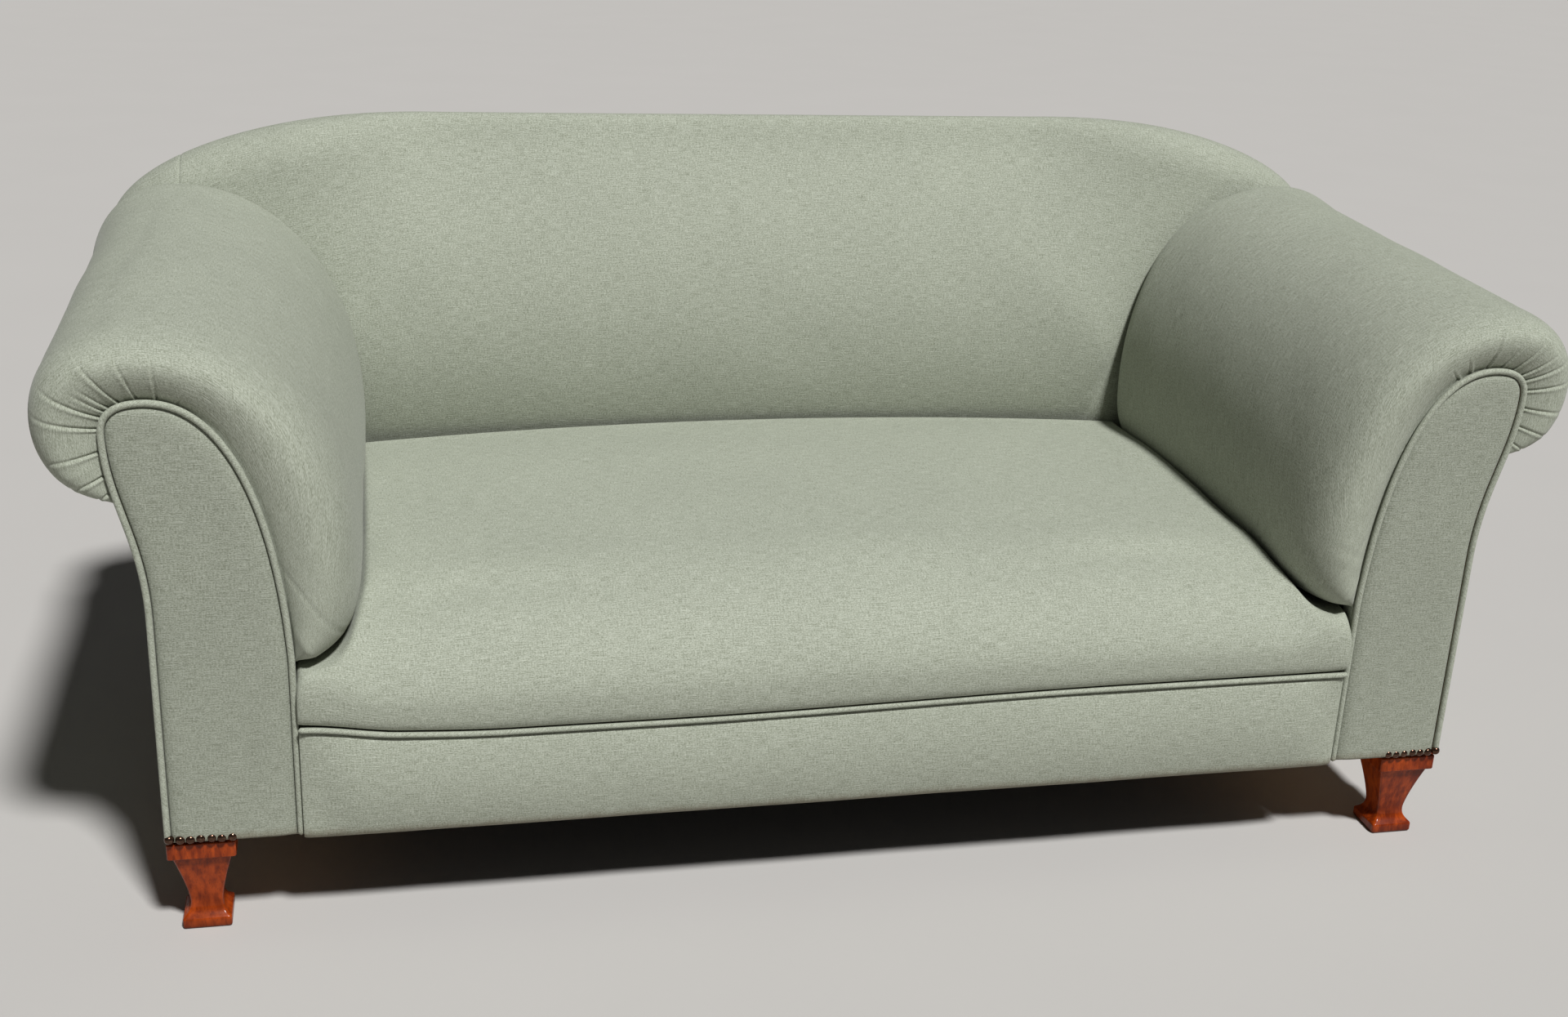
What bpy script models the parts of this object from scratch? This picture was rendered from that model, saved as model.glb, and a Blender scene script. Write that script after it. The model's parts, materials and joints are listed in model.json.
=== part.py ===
# Drop arm sofa: a tight-upholstered sofa with two rolled arms on square shaped legs.
# The arm at +X lets down outwards on hinges at its foot and is held by a toothed quadrant and a pawl.
# Front faces -Y, +Z is up, and the origin is on the floor under the middle of the sofa.
import math

import bmesh
import bpy
from mathutils import Matrix

# Overall sizes, in metres
OVERALL_WIDTH = 1.776
OVERALL_DEPTH = 0.800
BACK_HEIGHT = 0.816
SEAT_HEIGHT = 0.405
LEG_HEIGHT = 0.116

# Fits
GAP = 0.0003
SWING_GAP = 0.0035
ARM_BACK_GAP = 0.012
SEAT_SIDE_GAP = 0.0115

# Arm and facing
ROLL_OVERHANG = 0.108
FACING_WIDTH = 0.150
FACING_TOP = 0.634
FACING_THICKNESS = 0.0067
HEAD_FLARE = 0.032
HEAD_SETBACK = 0.014
HEAD_DROP = 0.036
WAIST_HEIGHT = 0.390
PAD_UNDER_SEAT = 0.072
PAD_RISE = 0.015
PAD_BULGE = 0.074
BULGE_RISE = 0.075
ROLL_FRONT = 0.066
ROLL_REAR = 0.096
ROLL_TOP_INSET = 0.150
ROLL_OUT_DROP = 0.027
PAD_ROUNDING = 0.065
BOARD_THICKNESS = 0.022
BOARD_INSET = 0.004
PIPING_RADIUS = 0.0035
COVER = 0.0035

# Seat
SEAT_OVERHANG = 0.022
BORDER_TOP = 0.243
BORDER_THICKNESS = 0.0197
BORDER_PROUD = 0.008
SEAT_EDGE = 0.015
SEAT_CREST_DEPTH = 0.132
SEAT_CREST_DROP = 0.007
SEAT_REAR_DROP = 0.012
SEAT_END_PULL = 0.016
CROWN_FALL = 0.18
CROWN_POWER = 8.0
CROWN_ROOT = 2.4

# Frame timber
RAIL_THICKNESS = 0.026
SILL_THICKNESS = 0.028
SILL_FRONT = 0.033
BLOCK_LEG = 0.090
BLOCK_HEIGHT = 0.060
BRACE_WIDTH = 0.045
BRACE_HEIGHT = 0.040
ARM_RAIL_WIDTH = 0.030
ARM_RAIL_HEIGHT = 0.036
STUFFING_RAIL_WIDTH = 0.030
STUFFING_RAIL_HEIGHT = 0.040
ARM_TOP_RAIL_DEPTH = 0.065
EASED_EDGE = 0.0025
WEB_STRAP = 0.050
WEB_THICKNESS = 0.002
WEB_COLUMNS = 9
WEB_ROWS = 4
CLOTH_THICKNESS = 0.001

# Back
BACK_LEAN = math.radians(6.0)
BACK_TIMBER = 0.040
BACK_POST_WIDTH = 0.045
BACK_RAIL_HEIGHT = 0.070
BACK_END_INSET = 0.014
BACK_CORNER_WIDTH = 0.430
BACK_CORNER_DROP = 0.166
BACK_FOOT_GAP = 0.007
BACK_SWELL_FADE = 0.060
BACK_STUFFING_DROP = 0.070
WING_THICKNESS = 0.066
BACK_BULGE = 0.022
BACK_EDGE_INSET = 0.013
BACK_EDGE_FLARE = 0.240
BACK_EDGE_SOFT = 0.042
BACK_ROLL = 0.060
BACK_TOP_PAD = 0.050
BACK_LIP = 0.012
BACK_STATIONS = 36

# Legs
LEG_CAP = 0.075
LEG_CAP_HEIGHT = 0.021
LEG_SHANK = 0.057
LEG_NECK = 0.040
LEG_NECK_HEIGHT = 0.038
LEG_FOOT = 0.054
LEG_FOOT_BAND = 0.014
LEG_CHAMFER = 0.003
LEG_SETBACK = 0.004
BACK_LEG_TOP = 0.050
BACK_LEG_FOOT = 0.034
BACK_LEG_RAKE = 0.030

# Hinges and ratchet
HINGE_BARREL = 0.005
HINGE_BORE = 0.0028
HINGE_PIN = 0.0025
HINGE_LEAF = 0.002
HINGE_KNUCKLE = 0.032
HINGE_REACH = 0.034
HINGE_PLACES = (0.10, 0.44)
PIN_OVERHANG = 0.001
TOOTH_RADIUS = 0.085
TOOTH_DEPTH = 0.0075
TOOTH_PITCH = math.radians(15.0)
TOOTH_STEPS = 6
NOTCH_HALF = math.radians(4.5)
NOTCH_FIRST = math.radians(96.0)
QUADRANT_START = math.radians(88.0)
QUADRANT_END = math.radians(178.0)
QUADRANT_THICKNESS = 0.006
QUADRANT_DEPTH = 0.300
PAWL_RADIUS = 0.110
PAWL_ANGLE = math.radians(115.0)
PAWL_AIM = math.radians(-13.0)
PAWL_LENGTH = 0.044
PAWL_BOSS = 0.007
PAWL_PIN = 0.003
PAWL_BORE = 0.0033
NOSE_WIDTH = 0.0055
NOSE_DROP = 0.002
NOSE_RELIEF = 0.0045
NOSE_TOP = 0.006
BRACKET_THICKNESS = 0.004
BRACKET_WIDTH = 0.019
BRACKET_FOOT = 0.028
BRACKET_HEAD = 0.008

# Places worked out from the sizes above
FACE_Y = -OVERALL_DEPTH / 2 + SEAT_OVERHANG
OUT_X = OVERALL_WIDTH / 2 - ROLL_OVERHANG
IN_X = OUT_X - FACING_WIDTH
FACING_BOTTOM = LEG_HEIGHT + SWING_GAP
PAD_BOTTOM = SEAT_HEIGHT - PAD_UNDER_SEAT
PIPING_Y = PIPING_RADIUS - GAP
BOARD_Y = FACING_THICKNESS + GAP
SILL_BOTTOM = LEG_HEIGHT + GAP
SILL_TOP = SILL_BOTTOM + SILL_THICKNESS
RAIL_TOP = BORDER_TOP + 2 * PIPING_RADIUS - WEB_THICKNESS - GAP
SEAT_BASE = RAIL_TOP + WEB_THICKNESS + 2 * GAP
SEAT_HALF = IN_X - SEAT_SIDE_GAP
LEAN_TAN = math.tan(BACK_LEAN)
LEAN_COS = math.cos(BACK_LEAN)
LEAN_SIN = math.sin(BACK_LEAN)
BACK_DATUM_HEIGHT = SEAT_HEIGHT
BACK_PAD_FOOT = (SILL_TOP + BACK_FOOT_GAP - BACK_DATUM_HEIGHT) / LEAN_COS
BACK_SWELL_FOOT = (SEAT_BASE - BACK_DATUM_HEIGHT) / LEAN_COS
LIP_Y = BACK_TIMBER + BACK_LIP
BACK_MIDDLE = (LIP_Y - WING_THICKNESS - BACK_BULGE) / 2
BACK_TOP = (BACK_HEIGHT - BACK_DATUM_HEIGHT + BACK_MIDDLE * LEAN_SIN) / LEAN_COS
BACK_Y = OVERALL_DEPTH / 2 - LIP_Y * LEAN_COS - (BACK_TOP - BACK_ROLL) * LEAN_SIN
BACK_END = OVERALL_WIDTH / 2 - BACK_END_INSET
SILL_OUT = OUT_X - COVER - 2 * HINGE_BARREL - 5 * GAP
SILL_END = BACK_Y + BACK_TIMBER * LEAN_COS - (BACK_DATUM_HEIGHT - LEG_HEIGHT) * LEAN_TAN - GAP
PIVOT_X = SILL_OUT + HINGE_BARREL + GAP
PIVOT_Z = SILL_TOP + HINGE_LEAF + GAP
ARM_BASE = PIVOT_Z + HINGE_LEAF + GAP
POST_OUT = SILL_OUT
POST_IN = POST_OUT - BACK_POST_WIDTH
BACK_EDGE_FOOT = IN_X - PAD_BULGE - BACK_EDGE_INSET


def depth(distance):
    """World Y of a point that lies this far behind the front of the facings."""
    return FACE_Y + distance


def back_plane(offset, height):
    """World Y, at a height, of a plane that leans with the back, offset from the front of its timber."""
    return BACK_Y + (height - BACK_DATUM_HEIGHT) * LEAN_TAN + offset / LEAN_COS


def arm_rear(height):
    """World Y of an arm's rear end at a height."""
    return back_plane(-WING_THICKNESS, height) - ARM_BACK_GAP


def seat_rear(height):
    """World Y of the seat's rear face, against the foot of the back pad."""
    return back_plane(-WING_THICKNESS - BACK_BULGE, height) - GAP


def new_material(name, colour, roughness, metallic=0.0):
    material = bpy.data.materials.new(name)
    material.use_nodes = True
    shader = material.node_tree.nodes["Principled BSDF"]
    shader.inputs["Base Color"].default_value = (*colour, 1.0)
    shader.inputs["Roughness"].default_value = roughness
    shader.inputs["Metallic"].default_value = metallic
    return material


def new_collection(name):
    collection = bpy.data.collections.new(name)
    bpy.context.scene.collection.children.link(collection)
    return collection


def new_pivot(name, location, tilt=0.0):
    """An empty that carries the pieces which share one axis."""
    pivot = bpy.data.objects.new(name, None)
    pivot.location = location
    pivot.rotation_euler = (tilt, 0.0, 0.0)
    pivot.empty_display_size = 0.05
    parts.objects.link(pivot)
    return pivot


def add_part(name, data, material, pivot=None, in_pivot_axes=False):
    part = bpy.data.objects.new(name, data)
    parts.objects.link(part)
    data.materials.append(material)
    if pivot:
        part.parent = pivot
        if not in_pivot_axes:
            part.matrix_parent_inverse = Matrix.Translation(pivot.location).inverted()
    return part


def ease(part, width):
    bevel = part.modifiers.new("eased_edges", "BEVEL")
    bevel.width = width
    bevel.segments = 1
    bevel.limit_method = "ANGLE"


def box(name, low, high, material, pivot=None, in_pivot_axes=False, edge=EASED_EDGE):
    form = bmesh.new()
    bmesh.ops.create_cube(form, size=1.0)
    bmesh.ops.scale(form, vec=[b - a for a, b in zip(low, high)], verts=form.verts)
    bmesh.ops.translate(form, vec=[(a + b) / 2 for a, b in zip(low, high)], verts=form.verts)
    mesh = bpy.data.meshes.new(name)
    form.to_mesh(mesh)
    form.free()
    part = add_part(name, mesh, material, pivot, in_pivot_axes)
    if edge:
        ease(part, edge)
    return part


def cylinder(name, centre, radius, length, material, sides=16):
    """A round bar along Y."""
    form = bmesh.new()
    bmesh.ops.create_cone(
        form, cap_ends=True, segments=sides, radius1=radius, radius2=radius, depth=length
    )
    bmesh.ops.rotate(form, matrix=Matrix.Rotation(math.pi / 2, 3, "X"), verts=form.verts)
    mesh = bpy.data.meshes.new(name)
    form.to_mesh(mesh)
    form.free()
    mesh.shade_smooth()
    mesh.set_sharp_from_angle(angle=math.radians(40))
    part = add_part(name, mesh, material)
    part.location = centre
    return part


def flat_curve(name, outlines, thickness):
    curve = bpy.data.curves.new(name, "CURVE")
    curve.dimensions = "2D"
    curve.fill_mode = "BOTH"
    curve.extrude = thickness / 2
    for outline in outlines:
        spline = curve.splines.new("POLY")
        spline.points.add(len(outline) - 1)
        for point, place in zip(spline.points, outline):
            point.co = (place[0], place[1], 0.0, 1.0)
        spline.use_cyclic_u = True
    return curve


def upright_plate(name, outlines, front, rear, material, pivot=None, in_pivot_axes=False):
    """A plate cut to outlines of (x, z) and standing between two depths in Y; later outlines are holes."""
    part = add_part(name, flat_curve(name, outlines, rear - front), material, pivot, in_pivot_axes)
    part.rotation_euler = (math.pi / 2, 0.0, 0.0)
    part.location = (0.0, (front + rear) / 2, 0.0)
    return part


def flat_plate(name, outlines, bottom, top, material):
    """A plate cut to outlines of (x, y) and lying between two heights."""
    part = add_part(name, flat_curve(name, outlines, top - bottom), material)
    part.location = (0.0, 0.0, (bottom + top) / 2)
    return part


def loft(name, sections, material, pivot=None, in_pivot_axes=False):
    """A closed skin through rings of points, with a face across each end."""
    form = bmesh.new()
    rings = [[form.verts.new(point) for point in section] for section in sections]
    count = len(rings[0])
    for near, far in zip(rings, rings[1:]):
        for i in range(count):
            j = (i + 1) % count
            form.faces.new((near[i], near[j], far[j], far[i]))
    ends = [form.faces.new(rings[0]), form.faces.new(rings[-1])]
    bmesh.ops.recalc_face_normals(form, faces=form.faces)
    bmesh.ops.triangulate(form, faces=ends)
    mesh = bpy.data.meshes.new(name)
    form.to_mesh(mesh)
    form.free()
    mesh.shade_smooth()
    mesh.set_sharp_from_angle(angle=math.radians(50))
    return add_part(name, mesh, material, pivot, in_pivot_axes)


def cord(name, points, radius, material, pivot=None):
    """A round cord along points."""
    curve = bpy.data.curves.new(name, "CURVE")
    curve.dimensions = "3D"
    curve.bevel_depth = radius
    curve.bevel_resolution = 2
    curve.use_fill_caps = True
    spline = curve.splines.new("POLY")
    spline.points.add(len(points) - 1)
    for point, place in zip(spline.points, points):
        point.co = (*place, 1.0)
    return add_part(name, curve, material, pivot)


def as_mesh(part):
    """Turn a curve part into a mesh part with its caps welded, so that it can be cut."""
    bpy.context.view_layer.update()
    evaluated = part.evaluated_get(bpy.context.evaluated_depsgraph_get())
    mesh = bpy.data.meshes.new_from_object(evaluated)
    form = bmesh.new()
    form.from_mesh(mesh)
    bmesh.ops.remove_doubles(form, verts=form.verts, dist=0.00001)
    form.to_mesh(mesh)
    form.free()
    name = part.name
    placed = part.matrix_world.copy()
    material = part.data.materials[0]
    bpy.data.objects.remove(part)
    mesh.materials.clear()
    solid = add_part(name, mesh, material)
    solid.matrix_world = placed
    return solid


def bore(part, centre, radius, length):
    """Cut a round hole along Y through a mesh part."""
    cutter = cylinder(part.name + "_bore", centre, radius, length, iron)
    parts.objects.unlink(cutter)
    cutters.objects.link(cutter)
    cutter.hide_render = True
    cutter.display_type = "WIRE"
    cut = part.modifiers.new("bore", "BOOLEAN")
    cut.operation = "DIFFERENCE"
    cut.object = cutter


def bezier(start, lead, follow, end, steps):
    """Points after the start of a cubic curve, up to its end."""
    points = []
    for i in range(1, steps + 1):
        t = i / steps
        s = 1 - t
        weights = (s**3, 3 * s * s * t, 3 * s * t * t, t**3)
        points.append(
            tuple(sum(w * p[k] for w, p in zip(weights, (start, lead, follow, end))) for k in (0, 1))
        )
    return points


def arc(centre, radius, start, end, steps):
    """Points along an arc from one angle to another, both included."""
    return [
        (centre[0] + radius * math.cos(a), centre[1] + radius * math.sin(a))
        for a in (start + (end - start) * i / steps for i in range(steps + 1))
    ]


def inset(outline, distance):
    """Move every edge of a clockwise closed outline inwards by one distance."""
    moved = []
    count = len(outline)
    for i, (x, z) in enumerate(outline):
        before = outline[i - 1]
        after = outline[(i + 1) % count]
        normals = []
        for a, b in ((before, (x, z)), ((x, z), after)):
            length = math.hypot(b[0] - a[0], b[1] - a[1])
            normals.append(((b[1] - a[1]) / length, (a[0] - b[0]) / length))
        (ax, az), (bx, bz) = normals
        share = distance / (1 + ax * bx + az * bz)
        moved.append((x + share * (ax + bx), z + share * (az + bz)))
    return moved


def inner_side_at(outline, height):
    """X of an outline's inner side, which comes first and climbs, at a height."""
    for (ax, az), (bx, bz) in zip(outline, outline[1:]):
        if az <= height <= bz:
            return ax + (bx - ax) * (height - az) / (bz - az)
    return outline[0][0]


def mirrored(points, side):
    return [(side * x, z) for x, z in points]


# The facing's edge: up the inner side, over the scroll's head and down the outer side
SIDE_STEPS = 12
HEAD_STEPS = 6
WAIST_STEPS = 10
ROLL_WAIST_STEPS = 4


def facing_edge(foot):
    """Clockwise outline of an arm's front for the +X side, from a foot height."""
    shoulder = (IN_X, PAD_BOTTOM)
    head = (OUT_X - HEAD_SETBACK, FACING_TOP)
    elbow = (OUT_X + HEAD_FLARE, FACING_TOP - HEAD_DROP)
    waist = (OUT_X, WAIST_HEIGHT)
    sweep = head[0] - shoulder[0]
    climb = head[1] - shoulder[1]
    fall = elbow[1] - waist[1]
    edge = [(IN_X, foot), shoulder]
    edge += bezier(
        shoulder,
        (shoulder[0] + 0.06 * sweep, shoulder[1] + 0.60 * climb),
        (head[0] - 0.61 * sweep, head[1]),
        head,
        SIDE_STEPS,
    )
    edge += bezier(
        head,
        (head[0] + 0.6 * (elbow[0] - head[0]), head[1]),
        (elbow[0], elbow[1] + 0.7 * HEAD_DROP),
        elbow,
        HEAD_STEPS,
    )
    edge += bezier(
        elbow,
        (elbow[0], elbow[1] - 0.36 * fall),
        (waist[0], waist[1] + 0.46 * fall),
        waist,
        WAIST_STEPS,
    )
    return edge + [(OUT_X, foot)]


def padded_part(edge):
    """The stretch of a facing's outline that the pad covers, from its shoulder to the tuck under the roll."""
    return edge[1 : 2 + SIDE_STEPS + HEAD_STEPS + ROLL_WAIST_STEPS]


def bare_part(edge):
    """The stretch of a facing's outline below the tuck, on the outer side."""
    return edge[2 + SIDE_STEPS + HEAD_STEPS + ROLL_WAIST_STEPS :]


def pad_profile(rear_share):
    """Outside of the arm pad, from under its inner edge over the roll to the tuck below it."""
    tuck = padded_part(facing_edge(FACING_BOTTOM))[-1]
    foot_z = PAD_BOTTOM + PAD_RISE * rear_share
    foot = (IN_X, foot_z)
    inner = (IN_X - PAD_BULGE, foot_z + BULGE_RISE)
    top_z = FACING_TOP + ROLL_FRONT + (ROLL_REAR - ROLL_FRONT) * rear_share
    top = (IN_X + ROLL_TOP_INSET, top_z)
    outer = (OUT_X + ROLL_OVERHANG, FACING_TOP - ROLL_OUT_DROP)
    rise = top_z - inner[1]
    fall = top_z - outer[1]
    drop = outer[1] - tuck[1]
    profile = [foot]
    profile += bezier(
        foot,
        (foot[0] - 0.62 * PAD_BULGE, foot_z - 0.002),
        (inner[0], inner[1] - 0.68 * BULGE_RISE),
        inner,
        SIDE_STEPS - 7,
    )
    profile += bezier(
        inner,
        (inner[0], inner[1] + 0.66 * rise),
        (top[0] - 0.64 * (top[0] - inner[0]), top_z),
        top,
        7,
    )
    profile += bezier(
        top,
        (top[0] + 0.62 * (outer[0] - top[0]), top_z),
        (outer[0], outer[1] + 0.62 * fall),
        outer,
        HEAD_STEPS,
    )
    profile += bezier(
        outer,
        (outer[0], outer[1] - 0.75 * drop),
        (tuck[0] + 0.4 * (outer[0] - tuck[0]), tuck[1] - 0.06 * drop),
        tuck,
        ROLL_WAIST_STEPS,
    )
    return profile


def arm_pad(name, side, pivot=None):
    """Stuffed pad over the inside and top of an arm, rounded into its facing and open round the boards."""
    edge = facing_edge(FACING_BOTTOM)
    lip = padded_part(edge)
    hollow = padded_part(inset(edge, BOARD_INSET - GAP))
    length = arm_rear(BACK_DATUM_HEIGHT) - depth(BOARD_Y)
    stations = [share * PAD_ROUNDING for share in (0.0, 0.04, 0.14, 0.32, 0.6, 1.0)]
    body = length - PAD_ROUNDING
    stations += [PAD_ROUNDING + share * body for share in (0.2, 0.45, 0.7, 0.9, 0.975, 1.0)]
    sections = []
    for place in stations:
        rounding = min(place / PAD_ROUNDING, 1.0)
        fullness = math.sqrt(1 - (1 - rounding) ** 2)
        if place == stations[-1]:
            fullness = 0.95
        share = place / length
        outside = [
            (lx + (px - lx) * fullness, lz + (pz - lz) * fullness)
            for (lx, lz), (px, pz) in zip(lip, pad_profile(share))
        ]
        ring = outside + hollow[::-1]
        sections.append(
            [
                (side * x, depth(BOARD_Y) + place + (z - BACK_DATUM_HEIGHT) * LEAN_TAN * share, z)
                for x, z in ring
            ]
        )
    return loft(name, sections, fabric, pivot)


def outside_arm(name, side, bottom, pivot=None):
    """Cover on the outside of an arm, from its foot to the tuck under the roll."""
    edge = facing_edge(bottom)
    outer = bare_part(edge)
    inner = bare_part(inset(edge, COVER))
    section = outer + inner[::-1]
    front = [(side * x, depth(BOARD_Y), z) for x, z in section]
    rear = [(side * x, arm_rear(z) - GAP, z) for x, z in section]
    return loft(name, [front, rear], fabric, pivot)


def leaning_board(name, outline, pivot=None):
    """A board at the arm's rear end, with its edges level and its faces leaning with the back."""
    thickness = BOARD_THICKNESS / LEAN_COS
    rear = [(x, arm_rear(z) - GAP, z) for x, z in outline]
    front = [(x, y - thickness, z) for x, y, z in rear]
    return loft(name, [front, rear], beech, pivot)


def arm(label, side, foot, base, pivot=None):
    """One arm from its base height: boards, foot rail, upper rails, pad, facing and piping."""
    edge = facing_edge(FACING_BOTTOM)
    board = inset(edge, BOARD_INSET)
    board_front = depth(BOARD_Y)
    board_back = board_front + BOARD_THICKNESS
    upright_plate(label + "_front_board", [mirrored(board, side)], board_front, board_back, beech, pivot)
    rear = inset(facing_edge(base), BOARD_INSET)
    rear[0] = (rear[0][0], base)
    rear[-1] = (rear[-1][0], base)
    leaning_board(label + "_rear_board", mirrored(rear, side), pivot)

    def rail_end(height):
        return arm_rear(height) - BOARD_THICKNESS / LEAN_COS - 3 * GAP

    def rail(name, inner, width, bottom, height):
        xs = sorted((side * inner, side * (inner + width)))
        box(
            name,
            (xs[0], board_back + GAP, bottom),
            (xs[1], rail_end(bottom), bottom + height),
            beech,
            pivot,
        )

    rail(foot, SILL_OUT - ARM_RAIL_WIDTH, ARM_RAIL_WIDTH, base, ARM_RAIL_HEIGHT)
    stuffing_in = inner_side_at(board, PAD_BOTTOM + STUFFING_RAIL_HEIGHT)
    rail(label + "_stuffing_rail", stuffing_in, STUFFING_RAIL_WIDTH, PAD_BOTTOM, STUFFING_RAIL_HEIGHT)
    rail_foot = FACING_TOP - ARM_TOP_RAIL_DEPTH
    head = [point for point in board if point[1] > rail_foot]
    upright_plate(
        label + "_top_rail", [mirrored(head, side)], board_back + GAP, rail_end(rail_foot), beech, pivot
    )
    arm_pad(label + "_pad", side, pivot)
    face = inset(edge, 2 * PIPING_RADIUS + GAP)
    upright_plate(
        label + "_facing", [mirrored(face, side)], depth(0), depth(FACING_THICKNESS), fabric, pivot
    )
    line = inset(edge, PIPING_RADIUS)
    line[0] = (line[0][0], FACING_BOTTOM)
    line[-1] = (line[-1][0], FACING_BOTTOM)
    cord(
        label + "_piping",
        [(side * x, depth(PIPING_Y), z) for x, z in line],
        PIPING_RADIUS - GAP,
        fabric,
        pivot,
    )


def seat_section(x):
    """Section of the seat pad across its depth at one x: rolled front, crowned top, upright rear."""
    reach = abs(x) / SEAT_HALF
    crown = (1 - CROWN_FALL * reach**2) * max(1 - reach**CROWN_POWER, 0.0) ** (1 / CROWN_ROOT)
    height = SEAT_HEIGHT - SEAT_BASE
    scale = (SEAT_EDGE + (height - SEAT_EDGE) * crown) / height
    start = (-BORDER_PROUD / 2, 0.0)
    nose = (-SEAT_OVERHANG, 0.29 * height)
    crest = (SEAT_CREST_DEPTH, height - SEAT_CREST_DROP)
    rear_z = height - SEAT_REAR_DROP
    rear = (seat_rear(SEAT_BASE + rear_z) - FACE_Y, rear_z)
    run = rear[0] - crest[0]
    line = [start]
    line += bezier(start, (nose[0], 0.02 * height), (nose[0], 0.14 * height), nose, 4)
    line += bezier(
        nose,
        (nose[0], 0.78 * height),
        (crest[0] - 0.62 * (crest[0] - nose[0]), crest[1]),
        crest,
        6,
    )
    line += bezier(
        crest,
        (crest[0] + 0.33 * run, height + 0.3 * SEAT_CREST_DROP),
        (rear[0] - 0.33 * run, height + 0.2 * SEAT_CREST_DROP),
        rear,
        6,
    )
    points = []
    for y, z in line:
        z = SEAT_BASE + z * scale
        ahead = max(0.0, 1 - (y + SEAT_OVERHANG) / SEAT_CREST_DEPTH)
        y = depth(y + SEAT_END_PULL * (1 - scale) * ahead)
        points.append((x, min(y, seat_rear(z)), z))
    points[-1] = (x, seat_rear(points[-1][2]), points[-1][2])
    points.append((x, seat_rear(SEAT_BASE), SEAT_BASE))
    return points


def seat():
    stations = 22
    sections = [
        seat_section(SEAT_HALF * math.sin(math.pi * (i / stations - 0.5))) for i in range(stations + 1)
    ]
    loft("seat_pad", sections, fabric)
    half = SEAT_HALF + GAP
    box(
        "front_border",
        (-half, depth(-BORDER_PROUD), LEG_HEIGHT + GAP),
        (half, depth(BORDER_THICKNESS - BORDER_PROUD), BORDER_TOP - GAP),
        fabric,
    )
    height = BORDER_TOP + PIPING_RADIUS
    piping_y = depth(PIPING_RADIUS - BORDER_PROUD + GAP)
    cord(
        "border_piping",
        [(-half, piping_y, height), (0.0, piping_y, height), (half, piping_y, height)],
        PIPING_RADIUS - GAP,
        fabric,
    )


def seat_frame():
    front = depth(BORDER_THICKNESS - BORDER_PROUD + GAP)
    rear = seat_rear(SEAT_BASE) - GAP
    half = SEAT_HALF
    inner = half - RAIL_THICKNESS
    inner_front = front + RAIL_THICKNESS
    inner_rear = rear - RAIL_THICKNESS
    box("front_rail", (-half, front, SILL_BOTTOM), (half, inner_front, RAIL_TOP), beech)
    box("back_rail", (-half, inner_rear, SILL_BOTTOM), (half, rear, RAIL_TOP), beech)
    for label, side in (("left", -1), ("right", 1)):
        xs = sorted((side * inner, side * half))
        box(
            label + "_end_rail",
            (xs[0], inner_front + GAP, SILL_BOTTOM),
            (xs[1], inner_rear - GAP, RAIL_TOP),
            beech,
        )
        xs = sorted((side * (half + GAP), side * SILL_OUT))
        box(
            label + "_arm_sill",
            (xs[0], depth(SILL_FRONT), SILL_BOTTOM),
            (xs[1], SILL_END, SILL_TOP),
            beech,
        )
        for end, corner_y, way in (("front", inner_front + GAP, 1), ("back", inner_rear - GAP, -1)):
            corner = (side * (inner - GAP), corner_y)
            flat_plate(
                f"{end}_{label}_corner_block",
                [
                    [
                        corner,
                        (corner[0] - side * BLOCK_LEG, corner_y),
                        (corner[0], corner_y + way * BLOCK_LEG),
                    ]
                ],
                SILL_BOTTOM,
                SILL_BOTTOM + BLOCK_HEIGHT,
                beech,
            )
    box(
        "seat_cross_brace",
        (-BRACE_WIDTH / 2, inner_front + GAP, SILL_BOTTOM),
        (BRACE_WIDTH / 2, inner_rear - GAP, SILL_BOTTOM + BRACE_HEIGHT),
        beech,
    )
    box(
        "bottom_cloth",
        (-half, front, SILL_BOTTOM - GAP - CLOTH_THICKNESS),
        (half, rear, SILL_BOTTOM - GAP),
        black_cloth,
        edge=0.0,
    )
    webbing(half, front, rear)


def webbing(half, front, rear):
    """Straps woven across the top of the rails, as one sheet with its openings."""
    low = RAIL_TOP + GAP
    outer = [(-half, front), (-half, rear), (half, rear), (half, front)]
    open_x = (2 * half - WEB_STRAP * (WEB_COLUMNS + 1)) / WEB_COLUMNS
    open_y = (rear - front - WEB_STRAP * (WEB_ROWS + 1)) / WEB_ROWS
    openings = []
    for column in range(WEB_COLUMNS):
        left = -half + WEB_STRAP + column * (WEB_STRAP + open_x)
        for row in range(WEB_ROWS):
            near = front + WEB_STRAP + row * (WEB_STRAP + open_y)
            openings.append(
                [
                    (left, near),
                    (left + open_x, near),
                    (left + open_x, near + open_y),
                    (left, near + open_y),
                ]
            )
    flat_plate("seat_webbing", [outer] + openings, low, low + WEB_THICKNESS, jute)


def leg_ring(half, height, centre):
    """A square section with small chamfers."""
    cut = half - LEG_CHAMFER
    corners = [
        (-half, -cut),
        (-cut, -half),
        (cut, -half),
        (half, -cut),
        (half, cut),
        (cut, half),
        (-cut, half),
        (-half, cut),
    ]
    return [(centre[0] + x, centre[1] + y, height) for x, y in corners]


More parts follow.
